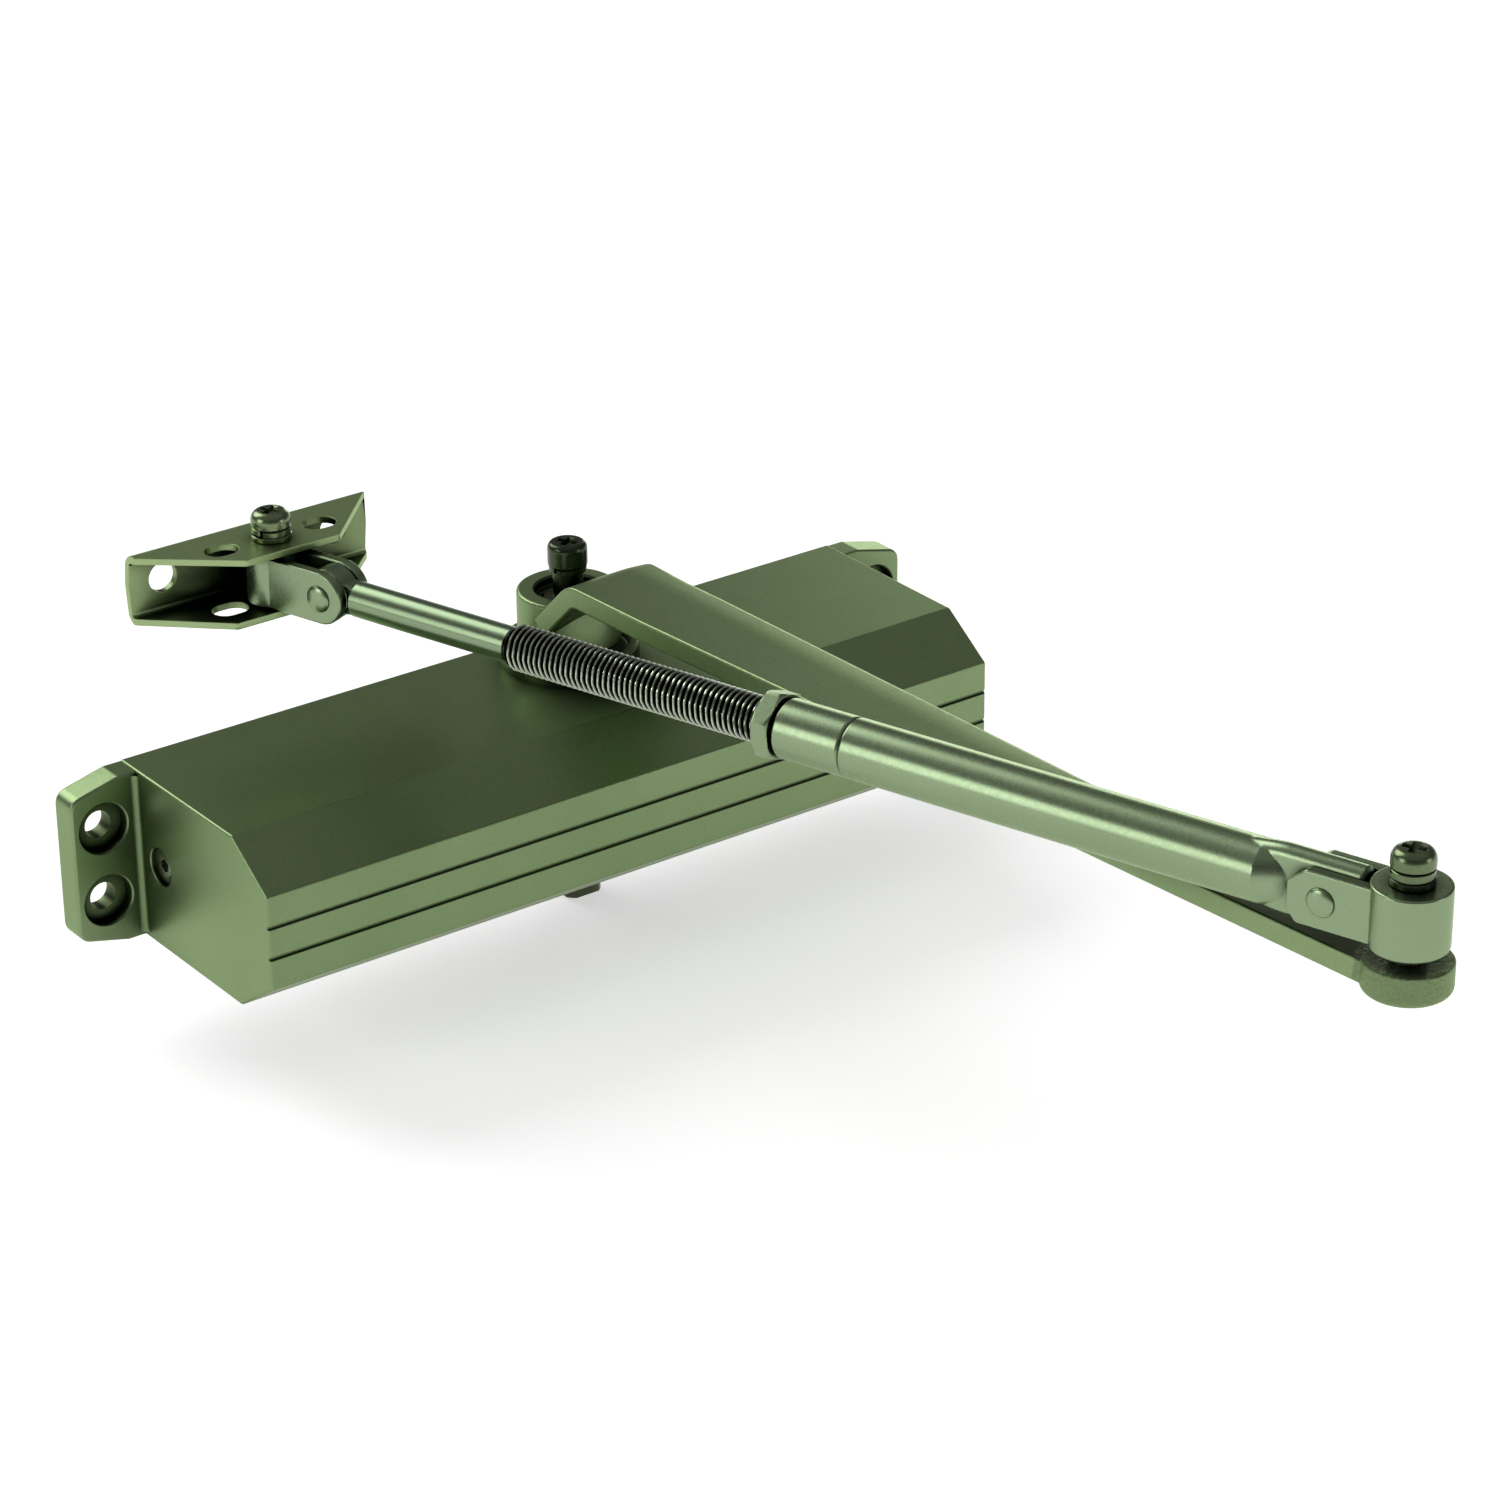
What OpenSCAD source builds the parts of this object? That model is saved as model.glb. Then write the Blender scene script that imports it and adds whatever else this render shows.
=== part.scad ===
// Hydraulic door closer with a regular arm: rack-and-pinion body, main arm, forearm and foot bracket.
// Millimetres. +X runs along the body, +Y points to the door, +Z is up.
// The origin is the centre of the body's back face, which is also the centre of its four screw holes.

/* [Housing] */
// Length of the cast body between its lugs
body_length = 213.3; // [205:0.1:222]
// Height of the cast body
body_height = 44.5; // [43.5:0.1:48]
// How far the body stands off the door
body_depth = 66.7; // [62:0.1:72]
// How far the flat top runs before the slope starts
body_flat_depth = 51.6; // [48:0.1:56]
// Height of the front face between the two slopes
nose_height = 24.2; // [20:0.1:30]
// How far a mounting lug reaches past the end of the body
lug_reach = 18.05; // [17:0.05:20]
// Thickness of the mounting lugs
lug_thickness = 7.9; // [6:0.1:9]
// Height of a lug at its outer edge
lug_height = 37; // [34:0.1:40]
// Distance from a screw hole to the lug's outer edge
hole_inset = 8.5; // [8:0.1:10]
// Distance between the upper and lower screw holes
hole_pitch = 19.2; // [18:0.1:20]
// Radius of the screw holes
hole_r = 3.5; // [3:0.1:3.8]
// Radius of the counterbore round each screw hole
counterbore_r = 6.3; // [5.5:0.1:6.5]
// Depth of the counterbore
counterbore_depth = 3; // [1:0.1:4]
// Width of each groove along the front face
groove_width = 0.9; // [0.5:0.1:1.5]
// Depth of each groove along the front face
groove_depth = 0.7; // [0.4:0.1:1.2]

/* [Cylinder and piston] */
// Radius of the oil cylinder
bore_r = 17.5; // [17.4:0.05:17.6]
// Distance from the door to the cylinder's axis
bore_depth = 25.7; // [25.6:0.05:25.8]
// Thickness of the wall at the closed left end
end_wall = 24.65; // [22:0.05:27]
// Radial clearance of the piston
piston_clear = 0.05; // [0.02:0.01:0.08]
// Length of the piston's left head
left_head = 18; // [16:0.5:22]
// Length of the solid part of the piston's right head
right_head = 6; // [5:0.5:7]
// Length of the skirt round the spring
skirt_length = 20; // [14:0.5:20]
// Inner radius of the skirt
skirt_r = 14.6; // [14.4:0.1:15]
// Distance from the spindle to the left head
left_gap = 38; // [37.5:0.5:40]
// Distance from the spindle to the right head
right_gap = 16; // [15.5:0.5:17]
// Half height of the rack bar
rack_half_height = 9.5; // [8:0.5:10]

/* [Rack and pinion] */
// Gear module
gear_module = 1.5; // [1.5:0.01:1.5]
// Number of pinion teeth
pinion_teeth = 10; // [10:1:10]
// Number of rack teeth
rack_teeth = 9; // [9:1:9]
// Play between the teeth at the pitch line
backlash = 0.36; // [0.3:0.02:0.4]

/* [Spindle] */
// Spindle position along the body
spindle_x = 12; // [8:0.5:16]
// Journal radius
journal_r = 7.5; // [7.4:0.1:7.6]
// Width over the flats of the squared ends
square_size = 10.4; // [9.5:0.1:11]
// Radius that trims the corners of the squared ends
square_trim_r = 6.2; // [6:0.1:6.6]
// Length of the free squared end below the body
square_length = 14.2; // [12:0.1:18]

/* [Gland caps] */
// Radius of the gland caps
gland_r = 17.5; // [16.5:0.1:17.6]
// Height of a cap above the body
gland_height = 5.25; // [4.5:0.05:5.4]
// Width of the raised rim
gland_rim = 2.5; // [2:0.1:3]
// Depth of the recess inside the rim
gland_recess = 3; // [2:0.1:3.4]
// Radius of the part of the cap that sits in the body
spigot_r = 13.5; // [13:0.1:13.6]
// How near to the middle of the body the spigot reaches
spigot_end = 12; // [11.6:0.1:12.6]
// Outer radius of bearing and seal
bearing_r = 10.5; // [10:0.1:10.8]

/* [Main arm] */
// Distance from the spindle to the elbow
arm_length = 280.98; // [270:0.01:290]
// Direction of the arm at rest
arm_angle = -86.59; // [-88:0.01:-85]
// Hub radius
hub_r = 13; // [12.5:0.1:13.5]
// Gap between the gland cap and the hub
hub_gap = 0.5; // [0.5:0.1:1.5]
// Height of the hub
hub_height = 13.6; // [13:0.1:15]
// How far the top of the arm lies above the top of the hub
arm_rise = 9.4; // [9:0.1:10]
// Thickness of the arm
arm_plate = 5.6; // [5.2:0.1:6]
// Half width of the arm near the hub
arm_half_width = 12.8; // [12:0.1:13]
// Half width of the arm near the elbow
arm_tip_half_width = 8; // [7:0.1:9]
// Radius of the boss at the elbow
boss_r = 9.9; // [9.5:0.1:11]

/* [Forearm] */
// Distance from the elbow to the foot pivot
forearm_length = 307.4; // [304:0.05:312]
// Direction of the forearm at rest
forearm_angle = 107.67; // [107:0.01:109]
// How far the forearm's axis lies above the top of the arm
forearm_rise = 10.4; // [10.4:0.1:12]
// Outer radius of the tube
tube_r = 7; // [6.8:0.1:7.1]
// Inner radius of the tube
tube_bore_r = 5.8; // [5.7:0.05:6]
// Where the tube meets the thread bush, from the elbow
bush_start = 138.55; // [130:0.05:145]
// Length of the thread bush
bush_length = 17.9; // [15:0.1:20]
// Radius over the rod's thread
thread_r = 5.5; // [5.4:0.05:5.6]
// Pitch of the rings that stand in for the thread
thread_pitch = 1.53; // [1.5:0.01:2]
// Where the thread ends, from the elbow
thread_end = 234; // [225:0.1:245]
// Radius of the plain rod
rod_r = 4.35; // [4:0.05:4.6]
// Width over the flats of the lock nut
nut_size = 15; // [14:0.5:17]
// Thickness of the lock nut
nut_thickness = 4.6; // [4:0.1:7]
// Elbow knuckle radius
elbow_knuckle_r = 8.7; // [8.5:0.1:8.8]
// Shoe knuckle radius
shoe_knuckle_r = 6.5; // [6.2:0.1:6.8]
// Distance from the elbow screw to its rivet
elbow_rivet_offset = 17.75; // [17.6:0.05:18]
// Distance from the pivot screw to its rivet
shoe_rivet_offset = 18.7; // [18.6:0.05:18.8]

/* [Foot bracket] */
// Length of the back plate at its longest
foot_length = 66.6; // [65:0.1:70]
// How much shorter the bracket is at its top and bottom, at each end
foot_end_taper = 0.6; // [0.2:0.1:1.5]
// Height of the bracket
foot_height = 18.1; // [17.9:0.1:18.4]
// Sheet thickness
foot_sheet = 1.8; // [1.6:0.1:1.9]
// Distance from the pivot to the back plate's outer face
foot_back = 13; // [12.8:0.1:14]
// Distance from the pivot to the top plate's front edge
foot_front = 8.5; // [8:0.1:9.5]
// Distance from the pivot to the bottom plate's front edge
foot_lower_front = 6.7; // [5:0.1:7.5]
// Length of the top plate's front edge
foot_front_length = 25.8; // [22:0.1:28]
// How far that edge sits to the right of the pivot
foot_front_shift = 1; // [0:0.1:2]
// Length of the bottom plate's front edge
foot_lower_front_length = 28.6; // [26:0.1:31]
// Distance between the round holes in the back plate
foot_hole_span = 47.8; // [46:0.1:51]
// How far these holes sit above the middle of the back plate
foot_hole_rise = 1.1; // [0:0.1:1.4]
// Radius of the round holes in the back plate
foot_hole_r = 3.75; // [3:0.05:4]
// Distance between the oval holes in the top plate
foot_slot_span = 27.2; // [26:0.1:29]
// Length of an oval hole in the top plate
foot_slot_length = 8.5; // [8:0.1:9.5]
// Width of an oval hole in the top plate
foot_slot_width = 6.5; // [6:0.1:7]
// Distance between the oval holes in the bottom plate
foot_lower_slot_span = 22.7; // [21:0.1:24]
// Length of an oval hole in the bottom plate
foot_lower_slot_length = 9.2; // [8.5:0.1:10]
// Width of an oval hole in the bottom plate
foot_lower_slot_width = 7; // [6:0.1:7.4]

/* [Valves] */
// Distance from the door to the sweep valve
sweep_depth = 17; // [16:0.5:19]
// Distance from the front face to the latch valve
latch_inset = 12.7; // [11:0.1:14]
// Radius of the recess round a valve
valve_recess_r = 4.75; // [4:0.05:5]
// Radius of the valve screws
valve_r = 2.95; // [2.8:0.05:3]

/* [Hidden] */
$fn = 64;

// Margin by which cutters run past the faces they cut
over = 1;
// Running clearance of shafts, screws and rings
run = 0.05;
half_length = body_length / 2;
half_height = body_height / 2;
latch_depth = body_depth - latch_inset;
lug_span = body_length + 2 * lug_reach;
hole_span = lug_span - 2 * hole_inset;
pitch_r = gear_module * pinion_teeth / 2;
tip_r = pitch_r + gear_module;
root_r = pitch_r - 1.25 * gear_module;
pressure_angle = 20;
base_r = pitch_r * cos(pressure_angle);
tooth_pitch = PI * gear_module;
spindle_y = -(bore_depth - pitch_r);
bore_left = -half_length + end_wall;
cap_pocket_top = half_height + 0.75;
gland_top = half_height + gland_height;
// the stack of heights from the gland cap up to the forearm
hub_bottom = gland_top + hub_gap;
hub_top = hub_bottom + hub_height;
arm_top = hub_top + arm_rise;
arm_bottom = arm_top - arm_plate;
boss_bottom = arm_bottom - 1.2;
boss_top = arm_top + 0.4;
forearm_z = arm_top + forearm_rise;
elbow_bottom = forearm_z - 7.9;
elbow_top = forearm_z + 7.3;
spindle_bottom = hub_bottom + square_length;
seal_gap = 0.3;
bearing_length = 7;

piston_left = spindle_x - left_gap;
piston_right = spindle_x + right_gap;
piston_left_end = piston_left - left_head;
spring_start = piston_right + right_head;
skirt_end = spring_start + skirt_length;
bar_top = -(bore_depth + 1.25 * gear_module);

plug_head = 6.65;
plug_body = 10;
plug_step = half_length - plug_head;
plug_inner = plug_step - plug_body;
plug_head_r = bore_r + 1;
plug_play = 0.05;
spanner_hole_r = 1.6;
spanner_hole_depth = 4;
spanner_hole_offset = 11.5;
collar_r = 8;
collar_length = 2.5;
collar_play = 0.3;
collar_face = plug_inner + collar_length + 0.5;
screw_r = 5;
screw_inset = 1.5;
socket_r = 2.9;
socket_depth = 4.5;
seat_travel = 3;
seat_length = 4;
seat_left = plug_inner - seat_travel - 1 - seat_length;
seat_hub = 6;
seat_hub_r = 8.2;
seat_play = 0.2;
wire_r = 1.9;
coil_r = 12;
coil_turns = 6;
spring_length = seat_left - spring_start;

elbow_x = spindle_x + arm_length * cos(arm_angle);
elbow_y = spindle_y + arm_length * sin(arm_angle);
shoe_x = elbow_x + forearm_length * cos(forearm_angle);
shoe_y = elbow_y + forearm_length * sin(forearm_angle);

arm_screw_r = 3;
arm_screw_neck_r = 3.85;
arm_screw_head = hub_top + 6.5;
arm_screw_top = arm_screw_head + 5.9;
hub_recess_r = 8.5;
hub_recess = 2.5;

joint_screw_r = 3;
joint_bush_r = 4.1;
washer_r = 4.9;
spring_washer_r = 4.75;
stack_play = 0.1;
elbow_washer_top = elbow_top + 1.8;
elbow_spring_top = elbow_washer_top + 2.3;
elbow_head_top = elbow_spring_top + 4.1;
tongue_half = 2.8;
tab_inner = 3.05;
elbow_tab_outer = 6;
elbow_tab_height = 12.8;
elbow_tab_reach = 8.2;
tongue_height = 16.2;
tongue_start = 9.4;
flat_end = 27.15;
shoulder_end = 33.95;
bush_end = bush_start + bush_length;
rod_inside = 48;
thread_start = bush_start - rod_inside;
shoe_tab_outer = 5.5;
shoe_tab_r = 6.75;
shoe_tongue_r = 6.4;
shoe_tongue_half = 2.6;
shoe_tab_inner = 2.8;
shoe_play = 0.3;
shoe_gap_start = 11.6;
foot_drop = 8.6;
foot_bottom = forearm_z - foot_drop;
foot_top = foot_bottom + foot_height;
shoe_bottom = foot_bottom + foot_sheet + shoe_play;
shoe_top = foot_top - foot_sheet - shoe_play;
washer_height = 1.8;
pivot_washer_top = foot_top + 1.4;
pivot_spring_top = pivot_washer_top + washer_height;
pivot_head_top = pivot_spring_top + 3.9;
pan_head_r = 4.85;
rivet_r = 2.5;
rivet_head_r = 3.3;
rivet_head = 1.1;

valve_head_depth = 1.2;
valve_length = 12;
needle_length = 5;
valve_depth = valve_head_depth + valve_length + needle_length;
valve_socket_r = 1.75;
valve_socket_depth = 1.8;
valve_groove_x = 6;
valve_groove = 1.6;
valve_groove_depth = 0.8;
gallery_r = 1.75;
cross_hole_r = 1.4;
gallery_depth = latch_depth;

// Points of an arc, used for rounded outlines
function arc(cx, cy, r, a0, a1, n = 8) =
  [for (i = [0:n]) let (a = a0 + (a1 - a0) * i / n) [cx + r * cos(a), cy + r * sin(a)]];
// Angle of the involute at radius r
function involute_angle(r) =
  let (t = sqrt(max(0, r * r / (base_r * base_r) - 1))) t * 180 / PI - atan(t);
// Half angle of a pinion tooth at radius r
function tooth_half_angle(r) =
  let (thickness = tooth_pitch / 2 - backlash / 2)
  thickness / (2 * pitch_r) * 180 / PI + involute_angle(pitch_r) - involute_angle(max(r, base_r));
// One flank of a pinion tooth
function flank(side, steps = 6) =
  [for (i = [0:steps])
    let (r = root_r + (tip_r - root_r) * i / steps)
    let (a = side * tooth_half_angle(r))
    [r * cos(a), r * sin(a)]];
function reversed(list) = [for (i = [len(list) - 1:-1:0]) list[i]];

module bronze() { color([0.33, 0.33, 0.22]) children(); }
module bronze_light() { color([0.40, 0.40, 0.29]) children(); }
module steel() { color([0.55, 0.56, 0.55]) children(); }
module dark_steel() { color([0.25, 0.26, 0.20]) children(); }
module seal_rubber() { color([0.08, 0.08, 0.08]) children(); }

module at_spindle() { translate([spindle_x, spindle_y, 0]) children(); }
module in_arm() { at_spindle() rotate([0, 0, arm_angle]) children(); }
module at_elbow() { translate([elbow_x, elbow_y, 0]) children(); }
module in_forearm() { at_elbow() rotate([0, 0, forearm_angle]) children(); }
module at_shoe() { translate([shoe_x, shoe_y, 0]) children(); }
// A cylinder along +X that starts at x
module rod_x(x, length, r) { translate([x, 0, 0]) rotate([0, 90, 0]) cylinder(h = length, r = r); }
// The same on the cylinder's axis
module on_bore(depth = bore_depth) { translate([0, -depth, 0]) children(); }
module ring(r_out, r_in, height) {
  rotate_extrude() translate([r_in, 0]) square([r_out - r_in, height]);
}
// A ring seal with its edges taken off
module seal_ring(r_out, r_in, height, edge = 0.3) {
  rotate_extrude() polygon([
    [r_in + edge, 0], [r_out - edge, 0], [r_out, edge], [r_out, height - edge],
    [r_out - edge, height], [r_in + edge, height], [r_in, height - edge], [r_in, edge]
  ]);
}
module mirror_down() { mirror([0, 0, 1]) children(); }

// Housing
body_edge = 0.9;
nose_edge = 0.7;
lug_root = 12;
lug_shoulder = 13;
module body_profile() {
  h = half_height;
  n = nose_height / 2;
  polygon([
    [0, -h + body_edge], [0, h - body_edge], [-body_edge, h], [-body_flat_depth, h],
    [-body_flat_depth - body_edge, h - body_edge / 2], [-body_depth + nose_edge, n + nose_edge],
    [-body_depth, n - nose_edge], [-body_depth, -n + nose_edge], [-body_depth + nose_edge, -n - nose_edge],
    [-body_flat_depth - body_edge, -h + body_edge / 2], [-body_flat_depth, -h], [-body_edge, -h]
  ]);
}
module lug_outline() {
  half = lug_span / 2;
  z = lug_height / 2;
  r = 4;
  shoulder = half - lug_shoulder;
  polygon(concat(
    [[half_length - lug_root, half_height - body_edge], [shoulder, half_height - body_edge]],
    reversed(arc(half - r, z - r, r, 0, 90)),
    reversed(arc(half - r, -z + r, r, -90, 0)),
    [[shoulder, -half_height + body_edge], [half_length - lug_root, -half_height + body_edge]]
  ));
}
module lug() {
  rotate([90, 0, 0]) linear_extrude(lug_thickness) lug_outline();
}
module screw_hole(side, level) {
  translate([side * hole_span / 2, 0, level * hole_pitch / 2]) rotate([90, 0, 0]) {
    translate([0, 0, -over]) cylinder(h = lug_thickness + 2 * over, r = hole_r);
    translate([0, 0, lug_thickness - counterbore_depth]) cylinder(h = counterbore_depth + over, r = counterbore_r);
  }
}
module valve_bore(depth, side) {
  mirror([side > 0 ? 1 : 0, 0, 0]) on_bore(depth) {
    rod_x(-half_length - over, valve_head_depth + over, valve_recess_r);
    rod_x(-half_length, valve_head_depth + valve_length + run, valve_r + run);
    rod_x(-half_length, valve_depth + over, gallery_r);
  }
}
module oil_ways() {
  // from the sweep valve into the cylinder
  on_bore(sweep_depth) rod_x(-half_length + valve_length, end_wall - valve_length + over, gallery_r);
  // along the front wall, from the latch valve to the left end
  gallery_left = bore_left - 6;
  on_bore(gallery_depth) rod_x(gallery_left, half_length - valve_depth - gallery_left, gallery_r);
  // from the front wall to the sweep valve, and to the right-hand oil chamber
  translate([bore_left - 4, -gallery_depth, 0]) rotate([-90, 0, 0])
    cylinder(h = gallery_depth - sweep_depth, r = cross_hole_r);
  translate([skirt_end + 6, -gallery_depth, 0]) rotate([-90, 0, 0])
    cylinder(h = gallery_depth - bore_depth, r = cross_hole_r);
}
module housing() {
  bronze() difference() {
    union() {
      translate([-half_length, 0, 0]) rotate([90, 0, 90]) linear_extrude(body_length) body_profile();
      lug();
      mirror([1, 0, 0]) lug();
    }
    for (side = [-1, 1]) for (level = [-1, 1]) screw_hole(side, level);
    for (level = [-1, 1])
      translate([-half_length - over, -body_depth - over, level * nose_height / 6 - groove_width / 2])
        cube([body_length + 2 * over, over + groove_depth, groove_width]);
    on_bore() rod_x(bore_left, body_length, bore_r);
    on_bore() rod_x(plug_step, half_length, plug_head_r + run);
    at_spindle() translate([0, 0, -half_height - over]) cylinder(h = body_height + 2 * over, r = spigot_r + run);
    valve_bore(sweep_depth, -1);
    valve_bore(latch_depth, 1);
    oil_ways();
  }
}

// Gland caps with their bearings and seals
gland_groove = 2.4;
gland_groove_depth = 1.3;
gland_groove_z = half_height - 3.25;
ring_fit = 0.02;
module gland_cap() {
  at_spindle() difference() {
    union() {
      translate([0, 0, half_height]) rotate_extrude() polygon([
        [0, 0], [gland_r, 0], [gland_r, gland_height - 0.8], [gland_r - 0.8, gland_height],
        [gland_r - gland_rim + 0.4, gland_height], [gland_r - gland_rim, gland_height - 0.4],
        [gland_r - gland_rim, gland_height - gland_recess], [0, gland_height - gland_recess]
      ]);
      translate([0, 0, spigot_end]) cylinder(h = half_height - spigot_end + 0.5, r = spigot_r);
    }
    translate([0, 0, spigot_end - over]) cylinder(h = cap_pocket_top - spigot_end + over, r = bearing_r + 0.02);
    translate([0, 0, spigot_end - over]) cylinder(h = gland_top, r = journal_r + 0.15);
    translate([0, 0, gland_groove_z]) ring(spigot_r + over, spigot_r - gland_groove_depth, gland_groove);
  }
}
module needle_bearing() {
  at_spindle() translate([0, 0, spigot_end + 0.1]) difference() {
    cylinder(h = bearing_length, r = bearing_r);
    translate([0, 0, -over]) cylinder(h = bearing_length + 2 * over, r = journal_r + run);
    // lips of the drawn cup stand proud of the needles
    translate([0, 0, bearing_length - 0.6]) cylinder(h = over, r = bearing_r - 1.2);
    translate([0, 0, -over + 0.6]) cylinder(h = over, r = bearing_r - 1.2);
  }
}
seal_bottom = spigot_end + 0.1 + bearing_length;
module shaft_seal() {
  at_spindle() translate([0, 0, seal_bottom]) rotate_extrude() polygon([
    [journal_r + run, 0.6], [journal_r + run, 1.2], [journal_r + 1.2, 2.2],
    [journal_r + 1.2, cap_pocket_top - seal_bottom - 0.1], [bearing_r, cap_pocket_top - seal_bottom],
    [bearing_r, 0], [journal_r + 0.9, 0]
  ]);
}
module gland_ring() {
  at_spindle() translate([0, 0, gland_groove_z + run])
    seal_ring(spigot_r + ring_fit / 2, spigot_r - gland_groove_depth + ring_fit, gland_groove - 2 * run);
}
module top_gland_cap() { bronze() gland_cap(); }
module bottom_gland_cap() { bronze() mirror_down() gland_cap(); }
module upper_needle_bearing() { steel() needle_bearing(); }
module lower_needle_bearing() { steel() mirror_down() needle_bearing(); }
module upper_shaft_seal() { seal_rubber() shaft_seal(); }
module lower_shaft_seal() { seal_rubber() mirror_down() shaft_seal(); }
module upper_gland_ring() { seal_rubber() gland_ring(); }
module lower_gland_ring() { seal_rubber() mirror_down() gland_ring(); }

// End plug and power adjuster
plug_groove_x = plug_inner + 4;
plug_groove = 2.6;
plug_groove_depth = 1.5;
adjuster_groove_x = collar_face + 4;
adjuster_groove = 2.2;
adjuster_groove_depth = 1.4;
module end_plug() {
  bronze() on_bore() difference() {
    union() {
      rod_x(plug_inner, plug_body + plug_head / 2, bore_r - plug_play);
      rod_x(plug_step, plug_head, plug_head_r);
    }
    rod_x(plug_inner - over, collar_face - plug_inner + over, collar_r + collar_play);
    rod_x(plug_inner, half_length, screw_r + run);
    // holes for a pin spanner
    for (side = [-1, 1]) translate([0, side * spanner_hole_offset, 0])
      rod_x(half_length - spanner_hole_depth, spanner_hole_depth + over, spanner_hole_r);
    translate([plug_groove_x, 0, 0]) rotate([0, 90, 0]) ring(bore_r + over, bore_r - plug_groove_depth, plug_groove);
    translate([adjuster_groove_x, 0, 0]) rotate([0, 90, 0])
      ring(screw_r + adjuster_groove_depth, screw_r - over, adjuster_groove);
  }
}
module end_plug_ring() {
  seal_rubber() on_bore() translate([plug_groove_x + run, 0, 0]) rotate([0, 90, 0])
    seal_ring(bore_r - ring_fit / 2, bore_r - plug_groove_depth + ring_fit, plug_groove - 2 * run);
}
module adjuster_ring() {
  seal_rubber() on_bore() translate([adjuster_groove_x + run, 0, 0]) rotate([0, 90, 0])
    seal_ring(screw_r + adjuster_groove_depth - ring_fit, screw_r + 0.03, adjuster_groove - 2 * run);
}
adjuster_left = seat_left - seat_hub;
adjuster_end = half_length - screw_inset;
module adjuster_screw() {
  steel() on_bore() difference() {
    union() {
      rod_x(adjuster_left, adjuster_end - adjuster_left, screw_r);
      rod_x(collar_face - collar_length, collar_length, collar_r);
    }
    translate([adjuster_end - socket_depth, 0, 0]) rotate([0, 90, 0])
      cylinder(h = socket_depth + over, r = socket_r, $fn = 6);
  }
}
module spring_seat() {
  steel() on_bore() difference() {
    union() {
      rod_x(seat_left, seat_length, bore_r - seat_play);
      rod_x(seat_left - seat_hub + over, seat_hub, seat_hub_r);
    }
    rod_x(seat_left - seat_hub, seat_length + seat_hub + over, screw_r + run);
  }
}

// Main spring, a swept coil with closed ends
coil_steps = 150;
wire_sides = 10;
function coil_x(u) =
  let (t = u * coil_turns)
  let (flat = 0.75)
  let (d = 2 * wire_r + 0.1)
  let (rise = (spring_length - 2 * wire_r - 0.1 - 2 * flat * d) / (coil_turns - 2 * flat))
  t < flat ? t * d : t > coil_turns - flat
    ? flat * d + (coil_turns - 2 * flat) * rise + (t - coil_turns + flat) * d
    : flat * d + (t - flat) * rise;
module main_spring() {
  points = [for (i = [0:coil_steps]) for (j = [0:wire_sides - 1])
    let (u = i / coil_steps)
    let (a = 360 * coil_turns * u)
    let (b = 360 * j / wire_sides)
    let (r = coil_r + wire_r * cos(b))
    [spring_start + wire_r + 0.05 + coil_x(u) + wire_r * sin(b), r * cos(a), r * sin(a)]];
  sides = [for (i = [0:coil_steps - 1]) for (j = [0:wire_sides - 1])
    let (k = (j + 1) % wire_sides)
    [i * wire_sides + j, i * wire_sides + k, (i + 1) * wire_sides + k, (i + 1) * wire_sides + j]];
  first = [for (j = [wire_sides - 1:-1:0]) j];
  last = [for (j = [0:wire_sides - 1]) coil_steps * wire_sides + j];
  steel() on_bore() polyhedron(points = points, faces = concat([first], sides, [last]));
}

// Piston with rack
head_r = bore_r - piston_clear;
ring_groove = 2;
ring_depth = 1.5;
left_ring_x = piston_left_end + 10;
right_ring_x = piston_right + 2;
ball_r = 3;
ball_chamber = 14;
ball_seat_x = piston_left_end + ball_chamber;
check_bore_r = 1.5;
retainer_length = 3;
module rack_tooth(x) {
  half = (tooth_pitch - backlash) / 4;
  slope = tan(pressure_angle);
  add = gear_module;
  ded = 1.25 * gear_module;
  translate([x, -bore_depth]) polygon([
    [-half - ded * slope, -ded - 0.5], [half + ded * slope, -ded - 0.5], [half + ded * slope, -ded],
    [half - add * slope, add], [-half + add * slope, add], [-half - ded * slope, -ded]
  ]);
}
rack_first = spindle_x - 6.5 * tooth_pitch;
module piston() {
  steel() difference() {
    union() {
      on_bore() rod_x(piston_left_end, left_head, head_r);
      on_bore() rod_x(piston_right, right_head + skirt_length, head_r);
      intersection() {
        on_bore() rod_x(piston_left - over, piston_right - piston_left + 2 * over, head_r);
        translate([piston_left - over, bar_top - 2 * bore_r, -rack_half_height])
          cube([piston_right - piston_left + 2 * over, 2 * bore_r, 2 * rack_half_height]);
      }
      translate([0, 0, -rack_half_height + 0.5]) linear_extrude(2 * rack_half_height - 1)
        for (i = [0:rack_teeth - 1]) rack_tooth(rack_first + i * tooth_pitch);
    }
    on_bore() {
      rod_x(spring_start, skirt_length + over, skirt_r);
      for (x = [left_ring_x, right_ring_x])
        translate([x, 0, 0]) rotate([0, 90, 0]) ring(bore_r + over, head_r - ring_depth, ring_groove);
      rod_x(piston_left_end - over, ball_seat_x - piston_left_end + over, ball_r + 0.1);
      rod_x(piston_left_end, left_head + over, check_bore_r);
    }
  }
}
module piston_ring_at(x) {
  on_bore() translate([x + 0.05, 0, 0]) rotate([0, 90, 0])
    ring(bore_r - 0.02, head_r - ring_depth + 0.02, ring_groove - 0.1);
}
module piston_ring_left() { dark_steel() piston_ring_at(left_ring_x); }
module piston_ring_right() { dark_steel() piston_ring_at(right_ring_x); }
module check_ball() {
  rest = sqrt(ball_r * ball_r - check_bore_r * check_bore_r) + 0.02;
  steel() on_bore() translate([ball_seat_x - rest, 0, 0]) sphere(r = ball_r, $fn = 32);
}
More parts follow.
